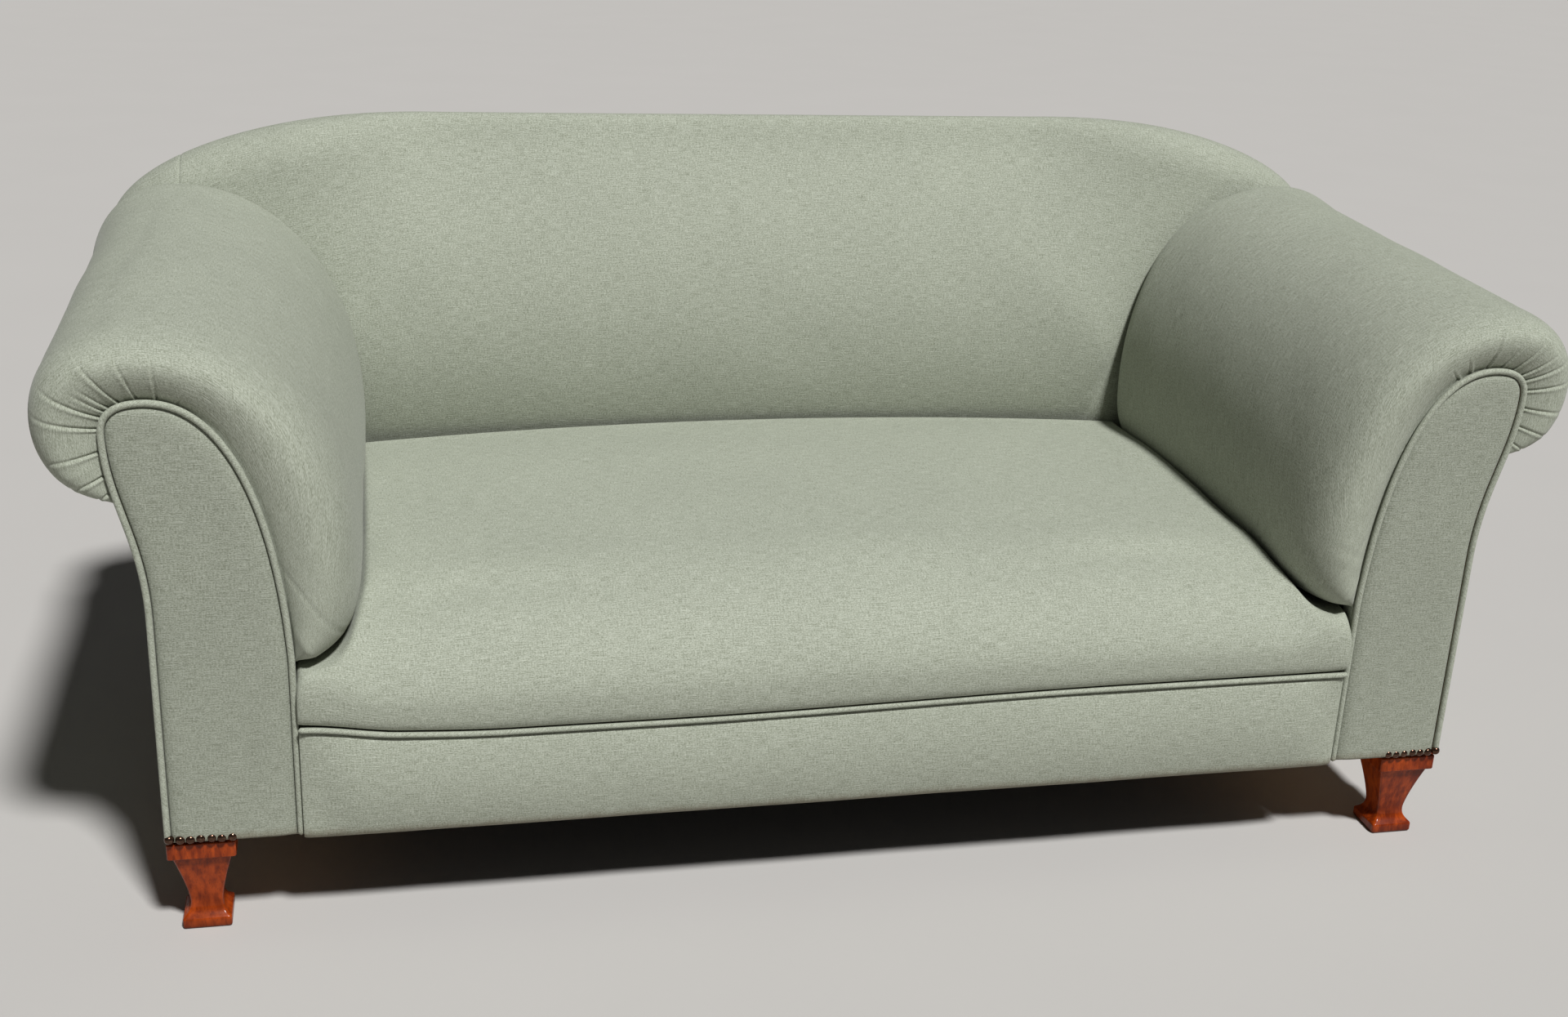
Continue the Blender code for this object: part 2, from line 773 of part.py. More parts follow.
def front_leg(name, side):
    """Square leg: a foot band, an ogee into a neck, a hollow flare and a plain cap."""
    centre = (side * (OUT_X - LEG_CAP / 2), depth(LEG_SETBACK + LEG_CAP / 2))
    cap_foot = LEG_HEIGHT - LEG_CAP_HEIGHT
    stations = [(0.0, LEG_FOOT / 2 - LEG_CHAMFER / 2), (LEG_CHAMFER / 2, LEG_FOOT / 2)]
    for i in range(7):
        t = i / 6
        swing = (1 - math.cos(math.pi * t)) / 2
        stations.append(
            (
                LEG_FOOT_BAND + (LEG_NECK_HEIGHT - LEG_FOOT_BAND) * t,
                (LEG_FOOT + (LEG_NECK - LEG_FOOT) * swing) / 2,
            )
        )
    for i in range(1, 6):
        t = i / 5
        stations.append(
            (
                LEG_NECK_HEIGHT + (cap_foot - LEG_NECK_HEIGHT) * t,
                (LEG_NECK + (LEG_SHANK - LEG_NECK) * t**1.8) / 2,
            )
        )
    stations += [(cap_foot, LEG_CAP / 2), (LEG_HEIGHT, LEG_CAP / 2)]
    loft(name, [leg_ring(half, height, centre) for height, half in stations], mahogany)


def back_leg(name, side):
    """Plain square leg, tapered and raked to the rear."""
    x = side * (SILL_OUT - BACK_LEG_TOP / 2)
    top_y = SILL_END - BACK_LEG_TOP / 2
    foot = leg_ring(BACK_LEG_FOOT / 2, 0.0, (x, top_y + BACK_LEG_RAKE))
    top = leg_ring(BACK_LEG_TOP / 2, LEG_HEIGHT, (x, top_y))
    loft(name, [foot, top], mahogany)


def back_top(x):
    """Height of the back's top line above the datum, along the lean."""
    past = abs(x) - (BACK_END - BACK_CORNER_WIDTH)
    if past <= 0:
        return BACK_TOP
    share = min(past / BACK_CORNER_WIDTH, 1.0)
    return BACK_TOP - BACK_CORNER_DROP * (1 - math.sqrt(1 - share * share))


def smooth(t):
    t = min(max(t, 0.0), 1.0)
    return t * t * (3 - 2 * t)


def back_stations():
    """Places across the back, closer together towards its rounded ends."""
    reach = BACK_END - GAP
    return [
        reach * math.sin(math.pi * (i / BACK_STATIONS - 0.5)) for i in range(BACK_STATIONS + 1)
    ]


def back_section(x):
    """Section of the back pad at one x: stuffed front, rolled top and a lip hooked over the top rail."""
    top = back_top(x)
    shoulder = top - BACK_ROLL
    wing = OUT_X - COVER
    past_wing = max(abs(x) - wing, 0.0) / (BACK_END - wing)
    foot = BACK_PAD_FOOT + 0.88 * (shoulder - BACK_PAD_FOOT) * past_wing**0.4
    thin = math.sqrt(1 - 0.75 * past_wing**2)
    front = []
    steps = 11
    for i in range(steps + 1):
        z = foot + (shoulder - foot) * i / steps
        edge = BACK_EDGE_FOOT + BACK_EDGE_FLARE * max(z, 0.0)
        swell = BACK_BULGE * smooth((edge - abs(x)) / BACK_EDGE_SOFT)
        swell *= smooth((z - BACK_SWELL_FOOT) / BACK_SWELL_FADE)
        front.append((-(WING_THICKNESS * thin + swell), z))
    nose = front[-1][0]
    middle = (nose + LIP_Y) / 2
    half = (LIP_Y - nose) / 2
    roll = []
    for i in range(1, 11):
        angle = math.pi * (1 - i / 10)
        roll.append((middle + half * math.cos(angle), shoulder + BACK_ROLL * math.sin(angle)))
    seat_top = top - BACK_TOP_PAD + GAP
    hook = [
        (BACK_TIMBER + GAP, shoulder),
        (BACK_TIMBER + GAP, seat_top),
        (-GAP, seat_top),
        (-GAP, foot),
    ]
    return [(x, y, z) for y, z in front + roll + hook]


def back():
    """The back, built upright on a datum that leans it: timber, pad and outside cover."""
    datum = new_pivot("back_datum", (0.0, BACK_Y, BACK_DATUM_HEIGHT), -BACK_LEAN)
    post_foot = (SILL_TOP + GAP - BACK_DATUM_HEIGHT + BACK_TIMBER * LEAN_SIN) / LEAN_COS
    rail_drop = BACK_TOP_PAD + BACK_RAIL_HEIGHT
    post_top = min(back_top(POST_IN), back_top(POST_OUT)) - rail_drop - GAP
    for label, side in (("left", -1), ("right", 1)):
        xs = sorted((side * POST_IN, side * POST_OUT))
        box(
            label + "_back_post",
            (xs[0], 0.0, post_foot),
            (xs[1], BACK_TIMBER, post_top),
            beech,
            datum,
            True,
        )
    stuffing_top = BACK_RAIL_HEIGHT - BACK_STUFFING_DROP
    box(
        "back_stuffing_rail",
        (-POST_IN + GAP, 0.0, -BACK_STUFFING_DROP),
        (POST_IN - GAP, BACK_TIMBER, stuffing_top),
        beech,
        datum,
        True,
    )
    box(
        "back_centre_post",
        (-BACK_POST_WIDTH / 2, 0.0, stuffing_top + GAP),
        (BACK_POST_WIDTH / 2, BACK_TIMBER, BACK_TOP - rail_drop - GAP),
        beech,
        datum,
        True,
    )
    stations = back_stations()
    places = stations[4:-4]
    upper = [(x, back_top(x) - BACK_TOP_PAD) for x in places]
    lower = [(x, back_top(x) - rail_drop) for x in places]
    upright_plate("back_top_rail", [upper + lower[::-1]], 0.0, BACK_TIMBER, beech, datum, True)
    loft("back_pad", [back_section(x) for x in stations], fabric, datum, True)
    outside_back(datum)


def outside_back(datum):
    """Cover over the back of the frame, up to the lip of the back pad."""
    foot = (LEG_HEIGHT + GAP - BACK_DATUM_HEIGHT + (BACK_TIMBER + COVER) * LEAN_SIN) / LEAN_COS
    places = back_stations()[3:-3]
    reach = places[-1]
    flare_foot = BACK_RAIL_HEIGHT - BACK_STUFFING_DROP
    flare_top = back_top(reach) - BACK_ROLL - GAP
    side = [(OUT_X, foot), (OUT_X, flare_foot)]
    side += bezier(
        side[-1],
        (OUT_X, (flare_foot + flare_top) / 2),
        (reach, (flare_foot + flare_top) / 2),
        (reach, flare_top),
        6,
    )
    top = [(x, back_top(x) - BACK_ROLL - GAP) for x in places[-2:0:-1]]
    outline = side + top + [(-x, z) for x, z in reversed(side)]
    upright_plate(
        "outside_back", [outline], BACK_TIMBER + GAP, BACK_TIMBER + GAP + COVER, fabric, datum, True
    )
    inner = [(-x, z) for x, z in inset([(-x, z) for x, z in outline], COVER)]
    sill_clear = (SILL_TOP + GAP - BACK_DATUM_HEIGHT + BACK_TIMBER * LEAN_SIN) / LEAN_COS
    outer_side = [(OUT_X, sill_clear)] + side[1:]
    inner_side = [(OUT_X - COVER, sill_clear)] + inner[1 : len(side)]
    inner_side[-1] = (inner_side[-1][0], flare_top)
    for label, way in (("left", -1), ("right", 1)):
        band = mirrored(outer_side + inner_side[::-1], way)
        upright_plate(label + "_back_side", [band], GAP, BACK_TIMBER, fabric, datum, True)


def hinge(label, place, pivot):
    """Loose-joint hinge: one knuckle on the sill's leaf, one on the arm's, and a pin through both."""
    centre = (PIVOT_X, PIVOT_Z)
    back = SILL_OUT + GAP
    turn = math.acos((back + HINGE_LEAF - PIVOT_X) / HINGE_BARREL)
    hole = arc(centre, HINGE_BORE, 0.0, 2 * math.pi * 15 / 16, 15)
    middle = depth(place)
    fixed = [(back, PIVOT_Z - HINGE_REACH + HINGE_LEAF + SWING_GAP)]
    fixed += arc(centre, HINGE_BARREL, math.pi, -turn, 16)
    fixed += [(back + HINGE_LEAF, fixed[0][1])]
    upright_plate(
        label + "_hinge_sill_leaf", [fixed, hole], middle - HINGE_KNUCKLE, middle - GAP, iron
    )
    moving = [(back, PIVOT_Z + HINGE_REACH)]
    moving += arc(centre, HINGE_BARREL, math.pi, 2 * math.pi + turn, 16)
    moving += [(back + HINGE_LEAF, PIVOT_Z + HINGE_REACH)]
    upright_plate(
        label + "_hinge_arm_leaf", [moving, hole], middle + GAP, middle + HINGE_KNUCKLE, iron, pivot
    )
    cylinder(
        label + "_hinge_pin",
        (PIVOT_X, middle, PIVOT_Z),
        HINGE_PIN,
        2 * (HINGE_KNUCKLE + PIN_OVERHANG),
        steel,
    )


def polar(radius, angle):
    return (PIVOT_X + radius * math.cos(angle), PIVOT_Z + radius * math.sin(angle))


def quadrant(pivot):
    """Toothed quadrant centred on the hinge axis and seated on the inner and top faces of the hinge rail."""
    seat_x = SILL_OUT - ARM_RAIL_WIDTH - GAP
    seat_z = ARM_BASE + ARM_RAIL_HEIGHT + GAP
    start_x, start_z = polar(TOOTH_RADIUS, QUADRANT_START)
    outline = [(start_x, seat_z), (start_x, start_z)]
    for step in range(TOOTH_STEPS):
        middle = NOTCH_FIRST + step * TOOTH_PITCH
        outline.append(polar(TOOTH_RADIUS, middle - NOTCH_HALF))
        outline.append(polar(TOOTH_RADIUS - TOOTH_DEPTH, middle - 0.6 * NOTCH_HALF))
        outline.append(polar(TOOTH_RADIUS - TOOTH_DEPTH, middle + 0.9 * NOTCH_HALF))
        outline.append(polar(TOOTH_RADIUS, middle + NOTCH_HALF))
        outline.append(polar(TOOTH_RADIUS, middle + TOOTH_PITCH / 2))
    outline[-1] = polar(TOOTH_RADIUS, QUADRANT_END)
    outline += [(seat_x, outline[-1][1]), (seat_x, seat_z)]
    front = depth(QUADRANT_DEPTH)
    upright_plate("ratchet_quadrant", [outline], front, front + QUADRANT_THICKNESS, iron, pivot)


def pawl_and_bracket():
    """Pawl over the quadrant's teeth, its pin, and the bent iron bracket on the sill that carries them."""
    px, pz = polar(PAWL_RADIUS, PAWL_ANGLE)
    front = depth(QUADRANT_DEPTH)
    rear = front + QUADRANT_THICKNESS
    pivot = new_pivot("pawl_axis", (px, (front + rear) / 2, pz))
    aim = (math.cos(PAWL_AIM), math.sin(PAWL_AIM))
    lift = (-aim[1], aim[0])

    def at(along, up):
        return (px + along * aim[0] + up * lift[0], pz + along * aim[1] + up * lift[1])

    outline = arc((px, pz), PAWL_BOSS, PAWL_AIM + math.pi / 2, PAWL_AIM + 1.5 * math.pi, 8)
    outline += [
        at(PAWL_LENGTH - NOSE_WIDTH, NOSE_RELIEF),
        at(PAWL_LENGTH - NOSE_WIDTH, -NOSE_DROP),
        at(PAWL_LENGTH, -NOSE_DROP),
        at(PAWL_LENGTH, NOSE_TOP),
    ]
    hole = arc((px, pz), PAWL_BORE, 0.0, 2 * math.pi * 15 / 16, 15)
    upright_plate("pawl", [outline, hole], front + GAP, rear - GAP, iron, pivot)
    face = rear + 3 * GAP
    foot = SILL_TOP + GAP
    cylinder(
        "pawl_pin",
        (px, (front + face + BRACKET_THICKNESS) / 2, pz),
        PAWL_PIN,
        face + BRACKET_THICKNESS - front + 2 * PIN_OVERHANG,
        steel,
    )
    bend = [
        (face, foot),
        (face, pz + BRACKET_HEAD),
        (face + BRACKET_THICKNESS, pz + BRACKET_HEAD),
        (face + BRACKET_THICKNESS, foot + BRACKET_THICKNESS),
        (face + BRACKET_FOOT, foot + BRACKET_THICKNESS),
        (face + BRACKET_FOOT, foot),
    ]
    bracket = add_part("ratchet_bracket", flat_curve("ratchet_bracket", [bend], BRACKET_WIDTH), iron)
    bracket.rotation_euler = (math.pi / 2, 0.0, math.pi / 2)
    bracket.location = (px, 0.0, 0.0)
    bracket = as_mesh(bracket)
    bore(bracket, (px, face + BRACKET_THICKNESS / 2, pz), PAWL_BORE, 4 * BRACKET_THICKNESS)


def drop_arm():
    """The arm that lets down, everything that swings with it, and the fixed band below it."""
    pivot = new_pivot("drop_arm_axis", (PIVOT_X, 0.0, PIVOT_Z))
    arm("drop_arm", 1, "drop_arm_hinge_rail", ARM_BASE, pivot)
    outside_arm("drop_arm_outside", 1, ARM_BASE, pivot)
    lining_x = IN_X + BOARD_INSET
    board_back = depth(BOARD_Y) + BOARD_THICKNESS
    box(
        "drop_arm_lining",
        (lining_x, board_back + GAP, ARM_BASE),
        (lining_x + COVER, arm_rear(ARM_BASE) - BOARD_THICKNESS / LEAN_COS - 3 * GAP, PAD_BOTTOM - GAP),
        black_cloth,
        pivot,
        edge=0.0,
    )
    swing = math.hypot(OUT_X - PIVOT_X, ARM_BASE - PIVOT_Z)
    box(
        "sill_band",
        (SILL_OUT + HINGE_LEAF + 2 * GAP, depth(SILL_FRONT), SILL_BOTTOM),
        (OUT_X, SILL_END, PIVOT_Z - swing - HINGE_LEAF),
        fabric,
        edge=0.0,
    )
    for label, place in zip(("front", "rear"), HINGE_PLACES):
        hinge(label, place, pivot)
    quadrant(pivot)
    pawl_and_bracket()


for leftover in list(bpy.data.objects):
    bpy.data.objects.remove(leftover, do_unlink=True)

parts = new_collection("drop_arm_sofa")
cutters = new_collection("cutters")

fabric = new_material("sage_linen", (0.290, 0.310, 0.225), 0.92)
beech = new_material("beech", (0.520, 0.350, 0.200), 0.65)
mahogany = new_material("polished_mahogany", (0.230, 0.055, 0.020), 0.30)
black_cloth = new_material("black_cloth", (0.025, 0.025, 0.025), 0.95)
jute = new_material("jute_webbing", (0.420, 0.310, 0.180), 0.90)
iron = new_material("black_iron", (0.060, 0.058, 0.055), 0.55, 0.9)
steel = new_material("steel", (0.450, 0.440, 0.420), 0.35, 1.0)

seat_frame()
seat()
back()
for leg_label, leg_side in (("left", -1), ("right", 1)):
    front_leg(f"front_{leg_label}_leg", leg_side)
    back_leg(f"back_{leg_label}_leg", leg_side)
arm("left_arm", -1, "left_arm_base_rail", SILL_TOP + GAP)
outside_arm("left_arm_outside", -1, FACING_BOTTOM)
drop_arm()
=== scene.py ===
import json
import math

import bpy
import numpy as np
from mathutils import Matrix, Vector


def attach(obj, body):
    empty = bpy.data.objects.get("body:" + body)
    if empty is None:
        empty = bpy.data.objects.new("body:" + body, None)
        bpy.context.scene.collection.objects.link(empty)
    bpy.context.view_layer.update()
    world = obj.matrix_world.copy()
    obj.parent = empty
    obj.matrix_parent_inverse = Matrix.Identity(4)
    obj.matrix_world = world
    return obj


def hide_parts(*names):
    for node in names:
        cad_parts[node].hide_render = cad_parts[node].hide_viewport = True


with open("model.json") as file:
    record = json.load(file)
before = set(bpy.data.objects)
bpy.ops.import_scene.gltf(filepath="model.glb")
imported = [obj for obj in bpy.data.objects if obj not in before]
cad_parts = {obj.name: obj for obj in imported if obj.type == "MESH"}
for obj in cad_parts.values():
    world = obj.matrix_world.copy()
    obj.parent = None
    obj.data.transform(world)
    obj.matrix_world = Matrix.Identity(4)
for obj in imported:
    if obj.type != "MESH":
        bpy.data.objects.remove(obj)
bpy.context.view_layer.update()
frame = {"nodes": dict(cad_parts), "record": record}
nodes = frame["nodes"]

# Sizes that several pieces share, in metres, the same as the solids have
sofa = {
    "outX": 0.780, "inX": 0.630, "faceY": -0.378, "boardY": 0.007, "armGap": 0.012,
    "facingFoot": 0.1195, "facingTop": 0.634, "padFoot": 0.333,
    "seatBase": 0.2503, "seatTop": 0.405, "seatHalf": 0.6185, "borderTop": 0.243,
    "sillBottom": 0.1163, "sillTop": 0.1443, "sillOut": 0.765, "sillEnd": 0.320656,
    "backY": 0.311556, "lean": math.radians(6), "timber": 0.040, "lipY": 0.052, "wing": 0.066,
    "backEnd": 0.874, "backTop": 0.411372, "backRoll": 0.060, "gap": 0.0003, "cover": 0.0035,
}
leanTan, leanCos, leanSin = math.tan(sofa["lean"]), math.cos(sofa["lean"]), math.sin(sofa["lean"])


def gridOf(*parts):  # coordinates of different shapes, spread to one grid of points
    return np.stack(np.broadcast_arrays(*parts), -1)


def backPlane(offset, z):  # world y at height z of a plane that leans with the back
    return sofa["backY"] + (z - sofa["seatTop"]) * leanTan + offset / leanCos


def armRear(z):
    return backPlane(-sofa["wing"], z) - sofa["armGap"]


def leanBack(x, y, z):  # points given square to the back's timber, turned to its lean
    return gridOf(x, sofa["backY"] + y * leanCos + z * leanSin, sofa["seatTop"] + z * leanCos - y * leanSin)


def cubic(t, a, b, c, d):  # cubic curve from a to d with controls b and c
    s = 1 - t
    return s**3 * a + 3 * s * s * t * b + 3 * s * t * t * c + t**3 * d


def smooth(t):  # 0 below 0, 1 above 1, an S between
    t = np.clip(t, 0, 1)
    return t * t * (3 - 2 * t)


def rampUp(t, start, run):  # the same S from start on, over a run
    return smooth((t - start) / run)


def hump(x, middle, width):  # bell curve of height 1
    return np.exp(-(((x - middle) / width) ** 2))


def runAlong(points, axis):  # distance walked along one direction of a grid
    step = np.linalg.norm(np.diff(points, axis=axis), axis=-1)
    start = np.zeros_like(np.take(step, [0], axis=axis))
    return np.concatenate([start, np.cumsum(step, axis=axis)], axis=axis)


def respaced(line, count):  # the same line with its points at even distances
    run = runAlong(line, 0)
    places = np.linspace(0, run[-1], count)
    return np.stack([np.interp(places, run, line[:, k]) for k in range(line.shape[1])], 1)


def wayAlong(line):  # unit direction at each point of a line
    way = np.gradient(line, axis=0)
    return way / np.linalg.norm(way, axis=1, keepdims=True)


def outwards(outer, inner):  # unit normals from the cross product of a grid's slopes, away from the inner grid
    normal = np.cross(np.gradient(outer, axis=0), np.gradient(outer, axis=1))
    normal = normal / np.maximum(np.linalg.norm(normal, axis=-1, keepdims=True), 1e-12)
    return normal * np.sign(np.sum(normal * (outer - inner)))


fullTurn = 6.283
slant = 0.7071  # each cloth coordinate's share of a run across an edge or round a cord
waveLength = {"u": 0.31, "bendV": 0.43, "v": 0.26, "bendU": 0.37, "slanting": 0.17, "crossing": 0.12}
# points across a sheet, a multiple of six and one more, because shell keeps every sixth point of the inner side
steps = {"fine": 121, "middle": 61, "coarse": 25, "strip": 13}


def unevenness(u, v, phase):  # slow hand-stuffed waves, about 1 high, from four crossed sines
    w = waveLength
    first = np.sin(fullTurn * u / w["u"] + phase + 0.9 * np.sin(fullTurn * v / w["bendV"] + phase))
    second = np.sin(fullTurn * v / w["v"] + 2.1 * phase + 0.8 * np.sin(fullTurn * u / w["bendU"]))
    third = np.sin(fullTurn * (u + 0.7 * v) / w["slanting"] + 1.7 * phase)
    fourth = np.sin(fullTurn * (u - 0.6 * v) / w["crossing"] + 0.6 * phase)
    return 0.38 * first + 0.34 * second + 0.18 * third + 0.1 * fourth


def gridFaces(index):  # quads of a grid of point numbers
    return np.stack([index[:-1, :-1], index[:-1, 1:], index[1:, 1:], index[1:, :-1]], -1).reshape(-1, 4)


def stripFaces(outer, inner, thin):  # triangles between a fine edge and one with every thin-th point
    j = np.arange(len(outer) - 1)
    apex = inner[j // thin + (j % thin >= thin // 2)]
    k = np.arange(len(inner) - 1)
    fill = np.stack([outer[k * thin + thin // 2], inner[k], inner[k + 1]], -1)
    return np.concatenate([np.stack([outer[j + 1], outer[j], apex], -1), fill])


def shell(outer, inner, uv, thin=6):  # closed skin: a fine outer grid, a coarse inner one and four edge strips
    inner = inner[::thin, ::thin]
    innerUv = uv[::thin, ::thin] + slant * np.linalg.norm(outer[::thin, ::thin] - inner, axis=-1, keepdims=True)
    a = np.arange(outer[..., 0].size).reshape(outer.shape[:2])
    b = a.size + np.arange(inner[..., 0].size).reshape(inner.shape[:2])
    edges = [(a[0], b[0]), (a[:, -1], b[:, -1]), (a[-1, ::-1], b[-1, ::-1]), (a[::-1, 0], b[::-1, 0])]
    strips = [stripFaces(fine, coarse, thin) for fine, coarse in edges]
    points = np.concatenate([outer.reshape(-1, 3), inner.reshape(-1, 3)])
    corners = np.concatenate([uv.reshape(-1, 2), innerUv.reshape(-1, 2)])
    return points, corners, [gridFaces(a), gridFaces(b)[:, ::-1], np.concatenate(strips)]


def joined(parts):  # several skins as one set of points and faces
    points, corners, faces, start = [], [], [], 0
    for partPoints, partCorners, partFaces in parts:
        points.append(partPoints)
        corners.append(partCorners)
        faces += [face + start for face in partFaces]
        start += len(partPoints)
    return np.concatenate(points), np.concatenate(corners), faces


def volumeOf(points, faces):  # signed, from the tetrahedra to the origin
    total = 0.0
    for face in faces:
        for k in range(1, face.shape[1] - 1):
            a, b, c = points[face[:, 0]], points[face[:, k]], points[face[:, k + 1]]
            total += np.einsum("ij,ij->i", a, np.cross(b, c)).sum() / 6
    return total


def meshOf(name, skin):  # a mesh of the skin's points and faces, turned outwards, with its cloth coordinates
    points, corners, faces = skin
    if volumeOf(points, faces) < 0:
        faces = [face[:, ::-1] for face in faces]
    index = np.concatenate([face.ravel() for face in faces])
    sizes = np.concatenate([np.full(len(face), face.shape[1]) for face in faces])
    mesh = bpy.data.meshes.new(name)
    mesh.vertices.add(len(points))
    mesh.vertices.foreach_set("co", points.ravel().astype(np.float32))
    mesh.loops.add(len(index))
    mesh.loops.foreach_set("vertex_index", index.astype(np.int32))
    mesh.polygons.add(len(sizes))
    mesh.polygons.foreach_set("loop_start", (np.cumsum(sizes) - sizes).astype(np.int32))
    mesh.uv_layers.new(name="weave").data.foreach_set("uv", corners[index].ravel().astype(np.float32))
    mesh.update(calc_edges=True)
    mesh.validate()
    return mesh


def addPiece(name, skin, finish, body="sofa_frame", replaced=(), sharp=50):
    mesh = meshOf(name, skin)
    mesh.shade_smooth()
    mesh.set_sharp_from_angle(angle=math.radians(sharp))
    mesh.materials.append(finish)
    piece = bpy.data.objects.new(name, mesh)
    bpy.context.scene.collection.objects.link(piece)
    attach(piece, body)
    if replaced:
        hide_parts(*replaced)
    return piece


def spread(grid, rows, cols):  # a thinned grid's values carried to the full grid and evened, its rim kept
    for axis, count in ((0, rows), (1, cols)):
        place = np.linspace(0, grid.shape[axis] - 1, count)
        low = np.minimum(place.astype(int), grid.shape[axis] - 2)
        part = (place - low).reshape([-1 if k == axis else 1 for k in range(3)])
        grid = np.take(grid, low, axis) * (1 - part) + np.take(grid, low + 1, axis) * part
    for _ in range(clothCopy["evening"]):
        grid[1:-1] = (grid[:-2] + 2 * grid[1:-1] + grid[2:]) / 4
        grid[:, 1:-1] = (grid[:, :-2] + 2 * grid[:, 1:-1] + grid[:, 2:]) / 4
    return grid


clothRun = {"quality": 6, "mass": 0.3, "air_damping": 1.0, "tension_stiffness": 15.0,
            "compression_stiffness": 15.0, "shear_stiffness": 5.0, "bending_stiffness": 0.5, "use_pressure": True}
clothCopy = {"thin": 3, "rim": 9, "frames": 20, "evening": 8}


def settled(name, outer, inner, most, pressure, free):
    # a cloth run blows up a thinned copy of the pad, drawn in beforehand by the most it may swell and held at its
    # rim and inner side; the full grid takes over how far it swells outwards
    f, scene = clothCopy, bpy.context.scene
    thin = slice(None, None, f["thin"])
    normal = outwards(outer, inner)
    edge = [np.minimum(np.arange(n), np.arange(n)[::-1]) for n in outer.shape[:2]]
    free = (free * smooth(edge[0][:, None] / f["rim"]) * smooth(edge[1][None] / f["rim"]))[..., None]
    outer = outer - most * free * normal
    coarse = outer[thin, thin]
    skin = shell(coarse, inner[thin, thin], np.zeros((*coarse.shape[:2], 2)), 1)
    copy = bpy.data.objects.new(name + "Cloth", meshOf(name + "Cloth", skin))
    scene.collection.objects.link(copy)
    index = np.arange(coarse[..., 0].size).reshape(coarse.shape[:2])
    held = np.setdiff1d(np.arange(len(skin[0])), index[1:-1, 1:-1])
    copy.vertex_groups.new(name="held").add(held.tolist(), 1.0, "REPLACE")
    cloth = copy.modifiers.new("cloth", "CLOTH")
    for key, value in clothRun.items():
        setattr(cloth.settings, key, value)
    cloth.settings.uniform_pressure_force = pressure
    cloth.settings.vertex_group_mass = "held"
    cloth.settings.effector_weights.gravity = 0
    cloth.collision_settings.use_collision = False
    cloth.point_cache.frame_start, cloth.point_cache.frame_end = 1, f["frames"]
    for step in range(1, f["frames"] + 1):
        scene.frame_set(step)
    solved = copy.evaluated_get(bpy.context.evaluated_depsgraph_get())
    points = np.empty(3 * len(skin[0]), np.float32)
    solved.to_mesh().vertices.foreach_get("co", points)
    swell = np.sum((points.reshape(-1, 3)[index] - coarse) * normal[thin, thin], -1, keepdims=True)
    swell = most * np.tanh(np.maximum(swell, 0) / most)
    print(f"cloth {name}: swelled {1000 * swell.mean():.1f} mm of {1000 * most:.1f} mm")
    scene.frame_set(1)
    mesh = copy.data
    bpy.data.objects.remove(copy)
    bpy.data.meshes.remove(mesh)
    return outer + spread(swell, *outer.shape[:2]) * free * normal


def tube(path, radius, sides=14):  # a round section carried along a path, its ends drawn in to a round
    way = wayAlong(path)
    depthWay = np.broadcast_to((0.0, 1.0, 0.0), path.shape)
    sideWay = np.cross(way, depthWay)
    sideWay /= np.linalg.norm(sideWay, axis=1, keepdims=True)
    turn = np.linspace(0, 2 * np.pi, sides + 1)[:-1]
    run = runAlong(path, 0)
    fromEnd = np.minimum(run, run[-1] - run)
    size = radius * np.sqrt(np.clip(1 - (1 - np.minimum(fromEnd / radius, 1)) ** 2, 0.0025, 1))
    ring = np.cos(turn)[None, :, None] * sideWay[:, None] + np.sin(turn)[None, :, None] * depthWay[:, None]
    points = path[:, None] + size[:, None, None] * ring
    index = np.arange(points[..., 0].size).reshape(points.shape[:2])
    around = np.concatenate([index, index[:, :1]], axis=1)
    cloth = slant * gridOf(run[:, None] + radius * turn, run[:, None] - radius * turn)
    return points.reshape(-1, 3), cloth.reshape(-1, 2), [gridFaces(around), index[:1, ::-1], index[-1:]]


print("stage: frame and helpers ready")


